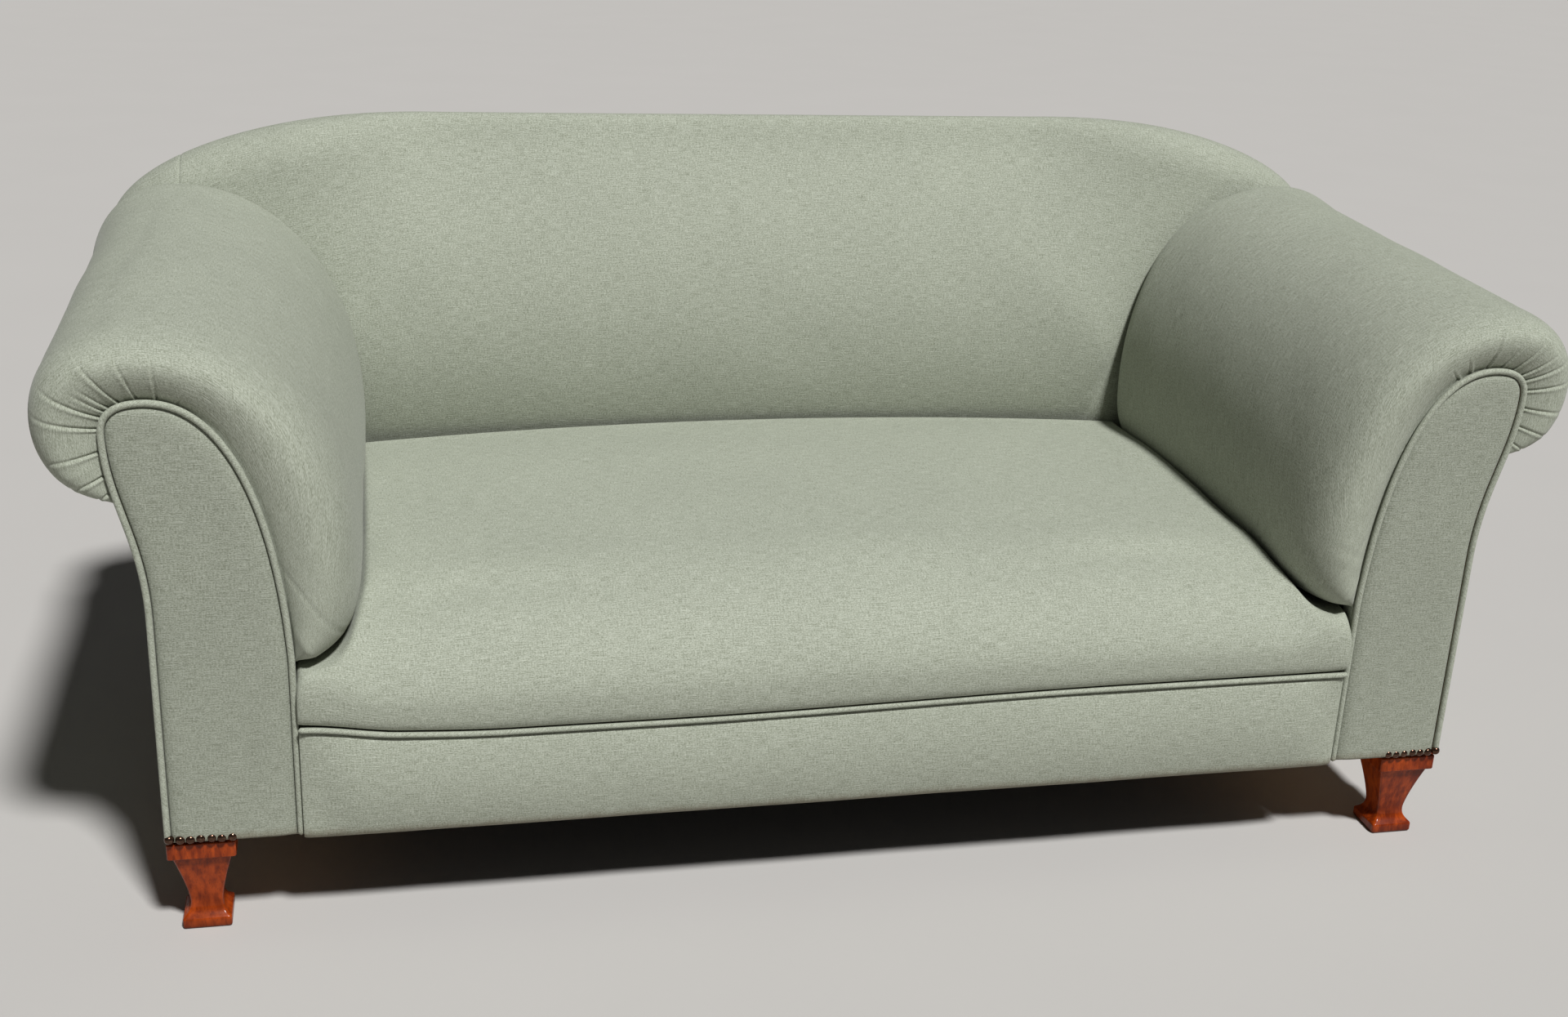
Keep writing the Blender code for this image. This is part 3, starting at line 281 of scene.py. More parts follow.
class Wire:
    # a socket of a material, with the operators that its maths uses
    def __init__(self, tree, socket=None):
        self.tree, self.socket = tree, socket

    def feed(self, socket, value):
        if isinstance(value, Wire):
            self.tree.links.new(value.socket, socket)
        else:
            socket.default_value = value

    def node(self, kind, settings=None, values=None, out=0):
        made = self.tree.nodes.new(kind)
        for key, value in (settings or {}).items():
            setattr(made, key, value)
        for key, value in (values or {}).items():
            self.feed(made.inputs[key], value)
        return Wire(self.tree, made.outputs[out])

    def maths(self, operation, first, second):
        return self.node("ShaderNodeMath", {"operation": operation}, {0: first, 1: second})

    def __add__(self, other):
        return self.maths("ADD", self, other)

    def __mul__(self, other):
        return self.maths("MULTIPLY", self, other)

    def __radd__(self, other):
        return self.maths("ADD", other, self)

    def __rsub__(self, other):
        return self.maths("SUBTRACT", other, self)

    def __rmul__(self, other):
        return self.maths("MULTIPLY", other, self)

    def noise(self, place, stretch, detail=2.0, rough=0.5):  # noise on a stretched place, about 0 to 1
        scaled = self.node("ShaderNodeVectorMath", {"operation": "MULTIPLY"}, {0: place, 1: stretch})
        return self.node("ShaderNodeTexNoise", {}, {"Vector": scaled, "Scale": 1.0, "Detail": detail,
                                                    "Roughness": rough})

    def ramp(self, value, low, high):  # 0 at low, 1 at high, smoothly between
        settings = {"interpolation_type": "SMOOTHSTEP"}
        return self.node("ShaderNodeMapRange", settings, {"Value": value, "From Min": low, "From Max": high})

    def tint(self, share, first, second):  # colour mixed from first to second
        colours = [c if isinstance(c, Wire) else (*c, 1.0) for c in (first, second)]
        return self.node("ShaderNodeMix", {"data_type": "RGBA"}, {0: share, 6: colours[0], 7: colours[1]}, 2)

    def shade(self, colour, share):  # colour times a number
        return self.node("ShaderNodeVectorMath", {"operation": "SCALE"}, {0: colour, "Scale": share})

    def bump(self, height, strength, distance):
        return self.node("ShaderNodeBump", {}, {"Height": height, "Strength": strength, "Distance": distance})


def newFinish(name, fixed):  # a Principled material with its fixed values, and a wire to build on
    material = bpy.data.materials.new(name)
    material.use_nodes = True
    shader = material.node_tree.nodes["Principled BSDF"]
    for key, value in fixed.items():
        shader.inputs[key].default_value = value
    return material, shader, Wire(material.node_tree)


def linenFinish(name, look):
    # linen: long weft slubs and short warp threads as stretched noise, slow fading, grime towards the hem
    material, shader, wire = newFinish(name, {"Sheen Weight": look["sheen"], "Sheen Roughness": 0.45,
                                              "Specular IOR Level": 0.28})
    place = wire.node("ShaderNodeUVMap", {"uv_map": "weave"})
    slub = wire.noise(place, look["weft"], 2.0, 0.55)
    grain = wire.noise(place, look["fine"], 2.0, 0.65)
    warp = wire.noise(place, look["warp"])
    fading = wire.noise(place, look["fading"])
    strong = wire.ramp(slub, 0.60, 0.72)
    thread = 0.32 * slub + 0.46 * grain + 0.22 * warp
    colour = wire.tint(wire.ramp(thread, 0.36, 0.64), look["dark"], look["light"])
    colour = wire.tint(0.40 * strong, colour, look["slub"])
    # the whole colour times tone, with slow fading; a tone below 1 is painted shade
    colour = wire.shade(colour, look["tone"] * 0.94 + look["tone"] * 0.12 * fading)
    world = wire.node("ShaderNodeTexCoord", out=3)
    height = wire.node("ShaderNodeSeparateXYZ", {}, {0: world}, 2)
    ragged = wire.noise(place, look["ragged"], 3.0)
    grime = (1 - wire.ramp(height + 0.012 * ragged, look["hemFoot"], look["hemTop"])) * look["grime"]
    colour = wire.tint(grime, colour, look["hem"])
    wire.feed(shader.inputs["Base Color"], colour)
    wire.feed(shader.inputs["Roughness"], 0.98 - 0.22 * thread)
    wire.feed(shader.inputs["Normal"], wire.bump(thread + 0.35 * strong, 0.55, look["relief"]))
    return material


def plainClothFinish(name, dark, light, stretch):
    # plain woven cloth: crossed thread noise between two tones
    material, shader, wire = newFinish(name, {"Specular IOR Level": 0.2})
    place = wire.node("ShaderNodeUVMap", {"uv_map": "weave"})
    weft = wire.noise(place, (stretch[0], stretch[1], 1))
    warp = wire.noise(place, (stretch[1], stretch[0], 1))
    thread = 0.5 * weft + 0.5 * warp
    wire.feed(shader.inputs["Base Color"], wire.tint(wire.ramp(thread, 0.35, 0.65), dark, light))
    wire.feed(shader.inputs["Roughness"], 0.97 - 0.15 * thread)
    wire.feed(shader.inputs["Normal"], wire.bump(thread, 0.5, 0.001))
    return material


def woodFinish(name, look):
    # wood: growth bands bent by noise, fine pores along the grain, darker stain and thinner polish in random
    # blotches, and darker towards the floor at the foot
    material, shader, wire = newFinish(name, {"Coat Roughness": 0.16, "Specular IOR Level": 0.05})
    place = wire.node("ShaderNodeTexCoord", out=3)
    bend = wire.noise(place, look["bend"], 3.0)
    band = wire.noise(place, look["grain"], 4.0, 0.6)
    pore = wire.noise(place, look["pore"], 2.0, 0.7)
    blotch = wire.noise(place, (26, 26, 26), 3.0, 0.6)
    figure = 0.62 * band + 0.38 * bend
    colour = wire.tint(wire.ramp(figure, 0.36, 0.64), look["dark"], look["light"])
    colour = wire.tint(0.55 * wire.ramp(pore, 0.56, 0.72), colour, look["poreTone"])
    colour = wire.tint(look["stain"] * wire.ramp(blotch, 0.5, 0.72), colour, look["stainTone"])
    low = wire.node("ShaderNodeSeparateXYZ", {}, {0: place}, 2)
    # the lowest 12 mm of height, next to the floor, is turned towards the stain's dark tone
    colour = wire.tint((1 - wire.ramp(low, 0.0, 0.012)) * look["footDarkening"], colour, look["stainTone"])
    wire.feed(shader.inputs["Base Color"], colour)
    wire.feed(shader.inputs["Roughness"], look["rough"] + 0.22 * blotch)
    wire.feed(shader.inputs["Coat Weight"], look["polish"] * (1 - 0.5 * wire.ramp(blotch, 0.45, 0.75)))
    wire.feed(shader.inputs["Normal"], wire.bump(0.6 * pore + 0.4 * band, look["relief"], 0.0012))
    return material


def metalFinish(name, look):
    # metal: mottled tone, worn brighter in patches, drawn or cast roughness
    material, shader, wire = newFinish(name, {"Metallic": look["metal"]})
    place = wire.node("ShaderNodeTexCoord", out=3)
    mottle = wire.noise(place, look["mottle"], 4.0, 0.6)
    worn = wire.ramp(wire.noise(place, (190, 190, 190), 3.0, 0.65), 0.52, 0.74)
    colour = wire.tint(mottle, look["dark"], look["light"])
    colour = wire.tint(look["wear"] * worn, colour, look["bright"])
    wire.feed(shader.inputs["Base Color"], colour)
    wire.feed(shader.inputs["Roughness"], look["rough"] + 0.24 * mottle)
    wire.feed(shader.inputs["Normal"], wire.bump(mottle, 0.25, 0.0006))
    return material


linenLook = {"dark": (0.212, 0.229, 0.171), "light": (0.470, 0.500, 0.416), "slub": (0.62, 0.65, 0.55),
             "hem": (0.150, 0.110, 0.065), "grime": 0.6, "hemFoot": 0.124, "hemTop": 0.142,
             "sheen": 0.09, "tone": 1.0, "relief": 0.0011, "weft": (48, 1250, 1), "fine": (430, 820, 1),
             "warp": (1250, 90, 1), "fading": (5, 7, 1), "ragged": (60, 60, 1)}
linen = linenFinish("sageLinen", linenLook)
# the same linen darkened to 0.86 for the arm facings: painted shade, because the upright facings take less light
# than the seat and the tops
shadedFacingLinen = linenFinish("shadedFacingLinen", {**linenLook, "tone": 0.86})
lining = plainClothFinish("blackLining", (0.012, 0.012, 0.012), (0.035, 0.035, 0.034), (120, 900))
jute = plainClothFinish("juteWebbing", (0.26, 0.18, 0.095), (0.50, 0.38, 0.22), (90, 800))
beech = woodFinish("planedBeech", {
    "dark": (0.42, 0.26, 0.135), "light": (0.60, 0.42, 0.25), "poreTone": (0.30, 0.17, 0.08),
    "stainTone": (0.34, 0.21, 0.11), "stain": 0.25, "footDarkening": 0.0, "bend": (3, 3, 3), "grain": (9, 9, 60),
    "pore": (90, 90, 900), "rough": 0.55, "polish": 0.0, "relief": 0.25})
mahogany = woodFinish("polishedMahogany", {
    "dark": (0.145, 0.016, 0.0020), "light": (0.385, 0.056, 0.005), "poreTone": (0.050, 0.008, 0.002),
    "stainTone": (0.060, 0.010, 0.003), "stain": 0.45, "footDarkening": 0.6, "bend": (14, 14, 7),
    "grain": (150, 150, 40), "pore": (900, 900, 160), "rough": 0.34, "polish": 0.45, "relief": 0.18})
iron = metalFinish("blackedIron", {
    "metal": 0.85, "dark": (0.028, 0.026, 0.024), "light": (0.075, 0.070, 0.064), "bright": (0.22, 0.20, 0.18),
    "wear": 0.45, "mottle": (160, 160, 160), "rough": 0.42})
steel = metalFinish("drawnSteel", {
    "metal": 1.0, "dark": (0.36, 0.35, 0.33), "light": (0.52, 0.51, 0.49), "bright": (0.62, 0.61, 0.59),
    "wear": 0.3, "mottle": (700, 60, 700), "rough": 0.24})
nailBronze = metalFinish("bronzedNail", {
    "metal": 0.9, "dark": (0.050, 0.027, 0.018), "light": (0.120, 0.064, 0.042), "bright": (0.34, 0.22, 0.15),
    "wear": 0.35, "mottle": (420, 420, 420), "rough": 0.08})

slotFinish = {"beech": beech, "mahogany": mahogany, "iron": iron, "steel": steel}
for row in frame["record"]["subparts"]:
    if row["material_slot"] in slotFinish:
        held = nodes[row["node"]].data.materials
        for place in range(len(held)):
            held[place] = slotFinish[row["material_slot"]]
print("stage: finishes ready")

# In the shapes below, settle is the most that a pad swells and its cloth pressure; the pairs named free, sag and
# puffLessAt are a start and a run
# Back: its top and front, which the fixed arm's pad follows too
backShape = {"cornerWide": 0.430, "cornerDrop": 0.166, "footGap": 0.007, "swell": 0.022, "swellFade": 0.060,
             "armIn": 0.550, "armRise": 0.30, "leftIn": 0.070, "leftFrom": 0.20, "leftRun": 0.15, "softLow": 0.050,
             "softHigh": 0.62, "softFrom": 0.05, "softRun": 0.30, "belly": 0.066, "bellyAt": 0.12, "under": 0.030,
             "underRun": 0.14, "wingKeep": 0.85, "wingFrom": 0.40, "wingRun": 0.25, "topPad": 0.050,
             "topLower": 0.06, "endRound": 0.011, "footClimb": 0.97, "thinning": 0.75, "slotFrom": 0.955,
             "slotRun": 0.035, "slotClose": 0.9, "wave": 0.0016, "phase": 4.2, "seam": 0.776,
             "seamWide": 0.0016, "seamDeep": 0.0011, "columns": 299, "frontRows": 97, "turnRows": 24,
             "slotRows": 48, "settle": (0.006, 0.6), "freeWide": 0.53, "freeRun": 0.08, "freeFoot": (20, 12),
             "freeTop": (66, 22), "coverReach": 0.843929, "coverBow": 0.003, "coverThick": 0.002,
             "coverWave": 0.0006, "coverPhase": 5.5, "sideFull": 0.0004}


def backTop(x):  # flat in the middle, a quarter ellipse down at each end
    f = backShape
    past = np.clip((np.abs(x) - (sofa["backEnd"] - f["cornerWide"])) / f["cornerWide"], 0, 1)
    return sofa["backTop"] - f["cornerDrop"] * (1 - np.sqrt(1 - past**2))


def backAway(x, z):  # how far the front leans away above its belly, less at the wings
    f = backShape
    shoulder = backTop(x) - sofa["backRoll"]
    climb = np.clip((z - f["bellyAt"]) / (shoulder - f["bellyAt"]), 0, 1)
    size = (shoulder - f["bellyAt"]) / (sofa["backTop"] - sofa["backRoll"] - f["bellyAt"])
    kept = f["wingKeep"] * rampUp(np.abs(x), f["wingFrom"], f["wingRun"])
    return f["belly"] * size * climb**1.8 * (1 - kept)


def backFront(x, z):  # how far the front stands behind the wings' plane: away above, swelled between the arms
    f = backShape
    soft = f["softLow"] + (f["softHigh"] - f["softLow"]) * rampUp(z, f["softFrom"], f["softRun"])
    edge = f["armIn"] + f["armRise"] * np.maximum(z, 0) + 0.36 * (soft - f["softLow"])
    edge = edge + f["leftIn"] * np.where(x < 0, 1 - rampUp(z, f["leftFrom"], f["leftRun"]), 0)
    swellFoot = (sofa["seatBase"] - sofa["seatTop"]) / leanCos
    below = np.clip((f["bellyAt"] - z) / f["underRun"], 0, 1.35)
    swell = f["swell"] - f["under"] * np.where(below < 1, below**2, 2 * below - 1)
    swell = swell * smooth((edge - np.abs(x)) / soft) * smooth((z - swellFoot) / f["swellFade"])
    return backAway(x, z) - swell


# Arms: pad, facing, piping and outside cover
facingShape = {"headBack": 0.014, "headFlare": 0.032, "headDrop": 0.036, "waist": 0.390}
padShape = {"bulge": 0.0725, "rearBulge": 0.011, "bulgeRise": 0.075, "footRise": 0.015, "footSag": 0.006,
            "rollFront": 0.066, "rollRear": 0.096, "topIn": 0.150, "overhang": 0.108, "outDrop": 0.027,
            "rounding": 0.110, "rearRound": 0.028, "rearIn": 0.10, "hollow": 0.0037, "frontPuff": 0.0260,
            "puffRun": 0.06, "puffLess": 0.2, "puffLessAt": (13, 4), "pressRun": 0.16, "columns": 481,
            "frontRows": 49, "straightRows": 48, "rearRows": 12, "levelRow": 60, "wave": 0.0014, "waveRun": 0.09,
            "pleatWide": 0.0011, "pleatSpread": 0.016, "seamDeep": 0.0011, "seamWide": 0.0014,
            "settle": (0.005, 14.0), "freeRound": (4.5, 2.5), "freeFront": (0.02, 0.06), "freeRear": (-0.10, 0.08)}


bulgeAt, topAt, outAt, tuckAt, waistAt = 5, 12, 18, 22, 28  # stops round the scroll, from its inner foot


def stage(p, start, end):  # how far p has come from one stop to another, 0 to 1
    return np.clip((p - start) / (end - start), 0, 1)


def facingEdge(p):  # three cubics: inner side up to the head, round the head, in to the waist
    f = facingShape
    x0, z0 = sofa["inX"], sofa["padFoot"]
    x1, z1 = sofa["outX"] - f["headBack"], sofa["facingTop"]
    x2, z2 = sofa["outX"] + f["headFlare"], sofa["facingTop"] - f["headDrop"]
    x3, z3 = sofa["outX"], f["waist"]
    a, b, c = stage(p, 0, topAt), stage(p, topAt, outAt), stage(p, outAt, waistAt)
    sweep, climb, fall = x1 - x0, z1 - z0, z2 - z3
    side = cubic(a, x0, x0 + 0.06 * sweep, x1 - 0.61 * sweep, x1), cubic(a, z0, z0 + 0.60 * climb, z1, z1)
    head = cubic(b, x1, x1 + 0.6 * (x2 - x1), x2, x2), cubic(b, z1, z1, z2 + 0.7 * f["headDrop"], z2)
    waist = cubic(c, x2, x2, x3, x3), cubic(c, z2, z2 - 0.36 * fall, z3 + 0.46 * fall, z3)
    return tuple(np.where(p <= topAt, side[k], np.where(p <= outAt, head[k], waist[k])) for k in (0, 1))


def padProfile(p, share):  # the roll's section, four cubics: under the bulge, up to the top, over, in to the tuck
    f = padShape
    tuckX, tuckZ = (float(v) for v in facingEdge(np.float64(tuckAt)))
    x0, z0 = sofa["inX"], sofa["padFoot"] + f["footRise"] * share
    bulge = f["bulge"] + f["rearBulge"] * share
    x1, z1 = sofa["inX"] - bulge, z0 + f["bulgeRise"]
    x2 = sofa["inX"] + f["topIn"]
    z2 = sofa["facingTop"] + f["rollFront"] + (f["rollRear"] - f["rollFront"]) * share
    x3, z3 = sofa["outX"] + f["overhang"], sofa["facingTop"] - f["outDrop"]
    a, b = stage(p, 0, bulgeAt), stage(p, bulgeAt, topAt)
    c, d = stage(p, topAt, outAt), stage(p, outAt, tuckAt)
    rise, fall, drop = z2 - z1, z2 - z3, z3 - tuckZ
    under = (cubic(a, x0, x0 - 0.70 * bulge, x1, x1),
             cubic(a, z0 - f["footSag"], z0 - 0.010 - f["footSag"], z1 - 0.80 * f["bulgeRise"], z1))
    inside = (cubic(b, x1, x1, x2 - 0.55 * (x2 - x1), x2), cubic(b, z1, z1 + 0.66 * rise, z2, z2))
    over = (cubic(c, x2, x2 + 0.62 * (x3 - x2), x3, x3), cubic(c, z2, z2, z3 + 0.62 * fall, z3))
    tuck = (cubic(d, x3, x3, tuckX + 0.4 * (x3 - tuckX), tuckX),
            cubic(d, z3, z3 - 0.75 * drop, tuckZ - 0.06 * drop, tuckZ))
    first = [np.where(p <= bulgeAt, under[k], inside[k]) for k in (0, 1)]
    last = [np.where(p <= outAt, over[k], tuck[k]) for k in (0, 1)]
    return tuple(np.where(p <= topAt, first[k], last[k]) for k in (0, 1))


def facingLine(inset, count=2401, foot=sofa["facingFoot"]):  # the facing's edge from foot to foot, moved inwards
    x, z = facingEdge(np.linspace(0, waistAt, 900))
    line = np.stack([np.r_[sofa["inX"], x, sofa["outX"]], np.r_[foot, z, foot]], 1)
    line = respaced(line, 2400)
    way = wayAlong(line)
    return respaced(line + inset * np.stack([way[:, 1], -way[:, 0]], 1), count)


def armPad(name, look):
    # each row is the facing's edge opened out to the roll's section by a soft round at the front, puffed forwards
    # and filled by a cloth run; pleats are narrow valleys with a ridge beside them, on lines that leave the
    # scroll's head
    f, side = padShape, look["side"]
    fine = np.linspace(0, tuckAt, 5000)
    step = np.diff(runAlong(np.stack(padProfile(fine, 0.3), -1), 0)) * (1 + 1.8 * smooth((fine[1:] - 7.5) / 2))
    p = np.interp(np.linspace(0, step.sum(), f["columns"]), np.r_[0, np.cumsum(step)], fine)
    length = armRear(sofa["seatTop"]) - sofa["faceY"] - sofa["boardY"] + look["rearReach"]
    front, rear = np.linspace(0, 1, f["frontRows"]), np.linspace(0, np.pi / 2, f["rearRows"] + 1)[1:]
    straight = np.linspace(f["rounding"], length - f["rearRound"], f["straightRows"] + 1)[1:]
    place = np.r_[f["rounding"] * front**2.3, straight, length - f["rearRound"] + f["rearRound"] * np.sin(rear)]
    behind = np.zeros(f["straightRows"] + f["rearRows"])
    opened = np.r_[1 - (1 - front) ** 2.6, behind + 1][:, None]
    ahead = np.ones(f["frontRows"] + f["straightRows"])
    full = opened * np.r_[ahead, 1 - f["rearIn"] * (1 - np.cos(rear))][:, None]
    share = (place / length)[:, None]
    lipX, lipZ = facingEdge(p)
    outX, outZ = padProfile(p[None], share)
    x, z = lipX + (outX - lipX) * full, lipZ + (outZ - lipZ) * full
    puff = f["frontPuff"] * (1 - (1 - opened) ** 2) * np.r_[1 - smooth((front - 0.25) / 0.75), behind][:, None]
    puff = puff * np.clip(np.hypot(outX - lipX, outZ - lipZ) / f["puffRun"], 0, 1)
    puff = puff * (1 - f["puffLess"] * rampUp(p, *f["puffLessAt"]))
    press = look["press"] * backFront(side * x, (z - sofa["seatTop"]) / leanCos) * smooth(
        (place[:, None] - length + f["pressRun"]) / f["pressRun"])  # follows the back where they meet

    def standing(x, z, shift):
        y = sofa["faceY"] + sofa["boardY"] + place[:, None] + (z - sofa["seatTop"]) * leanTan * share + shift
        return gridOf(side * x, y, z)

    outer = standing(x, z, press - puff)
    way = wayAlong(gridOf(lipX, lipZ))
    inner = standing((lipX + f["hollow"] * way[:, 1])[None], (lipZ - f["hollow"] * way[:, 0])[None], press)
    free = rampUp(p[None], *f["freeRound"]) * rampUp(place[:, None], *f["freeFront"])
    free = free * (1 - rampUp(place[:, None] - length, *f["freeRear"]))
    outer = settled(name, outer, inner, *f["settle"], free)
    normal = outwards(outer, inner)
    fromLip, across = runAlong(outer, 0), runAlong(outer, 1)
    level, middle = across[f["levelRow"]][None], p.size // 2
    perStep = np.linalg.norm(np.gradient(outer, axis=1), axis=-1) / np.gradient(p)[None]
    raised = f["wave"] * unevenness(fromLip, level, look["phase"]) * smooth(fromLip / f["waveRun"])
    for start, long, deep, skew in look["pleats"]:
        aside = (p[None] - start - skew * fromLip) * perStep
        wide = f["pleatWide"] + f["pleatSpread"] * fromLip
        fade = np.clip(1 - fromLip / long, 0, 1) * deep
        raised += fade * (0.55 * hump(aside, 2.2 * wide, 1.6 * wide) - 1.1 * hump(aside, 0, wide))
    for centre, wide, deep, start, end in look["pulls"]:
        raised += deep * hump(across - 0.5 * fromLip, centre, wide) * rampUp(fromLip, start, 0.02) * (
            1 - rampUp(fromLip, end, 0.06))
    raised -= f["seamDeep"] * hump(level, look["seam"], f["seamWide"]) * smooth(fromLip / 0.02)
    outer = outer + normal * raised[..., None]
    uv = np.stack([across - across[:, middle:middle + 1], fromLip], -1)
    pad = addPiece(name, shell(outer, inner, uv), linen, look["body"], [look["node"] + "_pad"])


def facingGrid(line, rows, cols):  # rows run from the inner edge to the outer one and shorten to the head
    apex = int(np.argmax(line[:, 1] + 0.55 * line[:, 0]))
    span = np.linspace(0, 0.994, rows)
    inner, outer = respaced(line[: apex + 1], 1201), respaced(line[apex:][::-1], 1201)
    pick = np.linspace(0, 1, 1201)
    edges = [np.stack([np.interp(span, pick, e[:, k]) for k in (0, 1)], 1) for e in (inner, outer)]
    t = np.linspace(0, 1, cols)[None, :, None]
    flat = edges[0][:, None] * (1 - t) + edges[1][:, None] * t
    wide = np.linalg.norm(edges[1] - edges[0], axis=1)[:, None]
    return flat, wide * np.minimum(t, 1 - t)[..., 0], (1 - span)[:, None] * 0.5


def armFacing(name, look):
    # a flat panel that stands up a little from its piping
    side = look["side"]
    flat, fromEdge, fromHead = facingGrid(facingLine(look["inset"]), 241, 49)
    fromFoot = np.clip((flat[..., 1] - sofa["facingFoot"]) / look["footRound"], 0, 1)
    stand = (1 - np.exp(-fromEdge / look["edgeEase"])) * (1 - np.exp(-fromHead / look["headEase"]))
    stand = stand * np.sqrt(1 - (1 - fromFoot) ** 2)
    wave = look["wave"] * unevenness(flat[..., 0], flat[..., 1], look["phase"])
    y = sofa["faceY"] + look["tuck"] - (look["tuck"] + look["puff"] + wave) * stand
    front = np.stack([side * flat[..., 0], y, flat[..., 1]], -1)
    back = front.copy()
    back[..., 1] = sofa["faceY"] + look["backIn"]
    # the facing's linen is darkened by painted shade
    piece = addPiece(name, shell(front, back, flat), shadedFacingLinen, look["body"],
                     [look["node"] + "_facing"])
    path = facingLine(look["cordIn"], 460)
    path = gridOf(side * path[:, 0], sofa["faceY"] + look["cordY"], path[:, 1])
    addPiece(name + "Piping", tube(path, look["cord"]), linen, look["body"],
             [look["node"] + "_piping"])
    y = np.linspace(sofa["faceY"] + sofa["boardY"], sofa["faceY"] + look["turnIn"], steps["strip"])[None]
    z = np.linspace(sofa["facingFoot"], sofa["padFoot"], steps["middle"])[:, None]
    skins = [gridOf(side * x, y, z) for x in look["edgeX"]]
    piece = addPiece(name + "Edge", shell(*skins, gridOf(y, z)), linen, look["body"])
    look["node"] + "_front_board"


def armRearCover(name, look):
    # a flat cloth over the rear board, seen when the arm is let down
    line = facingLine(look["coverIn"], foot=look["foot"] + look["coverLift"])
    flat = facingGrid(line, steps["fine"], steps["coarse"])[0]
    x, z = flat[..., 0], flat[..., 1]
    skins = [gridOf(look["side"] * x, armRear(z) + out, z) for out in look["coverOut"]]
    piece = addPiece(name, shell(*skins, flat), linen, look["body"])
    falling, rising = flat[1:, 1:] - flat[:-1, :-1], flat[1:, :-1] - flat[:-1, 1:]
    area = float(np.abs(falling[..., 0] * rising[..., 1] - falling[..., 1] * rising[..., 0]).sum() / 2)
    look["node"] + "_rear_board"


def armOutside(name, look):
    # the waist's curve below the tuck and the straight side, carried from the facing to the arm's rear
    side = look["side"]
    x, z = facingEdge(np.linspace(tuckAt, waistAt, 200))
    line = respaced(np.stack([np.r_[x, sofa["outX"]], np.r_[z, look["foot"]]], 1), steps["fine"])
    way = wayAlong(line)
    share = np.linspace(0, 1, steps["fine"])[None]
    run = np.linspace(0, 1, steps["fine"])[:, None]
    full = look["full"] * np.sin(np.pi * share) ** 0.6 * np.sin(np.pi * run) ** 0.5

    def carried(inset):
        lineX, lineZ = (line[:, k][:, None] for k in (0, 1))
        out = full - inset
        x = lineX - out * way[:, 1][:, None]
        z = lineZ + out * way[:, 0][:, None]
        start = sofa["faceY"] + sofa["boardY"]
        y = start + (armRear(z) - sofa["gap"] + look["rearReach"] - start) * share
        return gridOf(side * x, y, z)

    outer, inner = carried(0.0), carried(look["thick"])
    uv = np.stack([runAlong(outer, 1), runAlong(outer, 0)], -1)
    piece = addPiece(name, shell(outer, inner, uv), linen, look["body"], [look["node"] + "_outside"])
    look["node"] + "_front_board"


# pleat: place round the scroll, length, depth, lean to one side
leftPleats = [(10.3, 0.022, 0.0012, 0), (11.3, 0.060, 0.0022, 4), (12.4, 0.068, 0.0020, 2),
              (13.9, 0.074, 0.0026, 1), (15.0, 0.040, 0.0022, 0), (15.6, 0.046, 0.0016, -2),
              (16.4, 0.078, 0.0028, -2), (17.6, 0.080, 0.0028, 0), (18.9, 0.072, 0.0026, 2),
              (20.2, 0.060, 0.0024, 0), (21.2, 0.044, 0.0018, 0)]
dropPleats = [(9.6, 0.026, 0.0014, 0), (10.4, 0.030, 0.0018, -1), (11.5, 0.066, 0.0026, 3),
              (12.7, 0.070, 0.0024, 1), (14.0, 0.062, 0.0022, -1), (15.4, 0.056, 0.0024, -1),
              (16.3, 0.070, 0.0028, 0), (17.5, 0.074, 0.0028, 1), (18.7, 0.070, 0.0026, 1),
              (19.8, 0.058, 0.0024, 0), (20.9, 0.046, 0.0020, 0)]
# pull: place across, width, height, where along the arm it starts and ends
arms = [
    {"name": "fixedArm", "node": "left_arm", "body": "sofa_frame", "side": -1, "phase": 0.6,
     "rearReach": 0.0112, "press": 1, "pleats": leftPleats, "seam": 0.070, "foot": sofa["facingFoot"],
     "pulls": [(0.050, 0.007, 0.0007, 0.020, 0.06)]},
    {"name": "dropArm", "node": "drop_arm", "body": "drop_arm", "side": 1, "phase": 2.3,
     "rearReach": 0.0, "press": 0, "pleats": dropPleats, "seam": 0.066, "foot": 0.1489,
     "pulls": [(0.046, 0.006, 0.0011, 0.012, 0.07), (0.064, 0.005, 0.0010, 0.010, 0.06),
               (0.081, 0.006, 0.0008, 0.014, 0.05)]},
]
armTrim = {"inset": 0.0068, "footRound": 0.005, "tuck": 0.0046, "puff": 0.0022, "cordIn": 0.0034, "cordY": 0.0018,
           "cord": 0.0037, "full": 0.004, "thick": 0.002, "turnIn": 0.029, "coverIn": 0.0045, "coverLift": 0.001,
           "coverOut": (0.0030, 0.0012), "edgeX": (0.6312, 0.6337), "edgeEase": 0.006, "headEase": 0.010,
           "backIn": 0.0066, "wave": 0.0006}
for arm in arms:
    arm.update(armTrim)
    armPad(arm["name"] + "Pad", arm)
    armFacing(arm["name"] + "Facing", arm)
    armOutside(arm["name"] + "Outside", arm)
armRearCover("dropArmRearCover", arms[1])
print("stage: arms made")

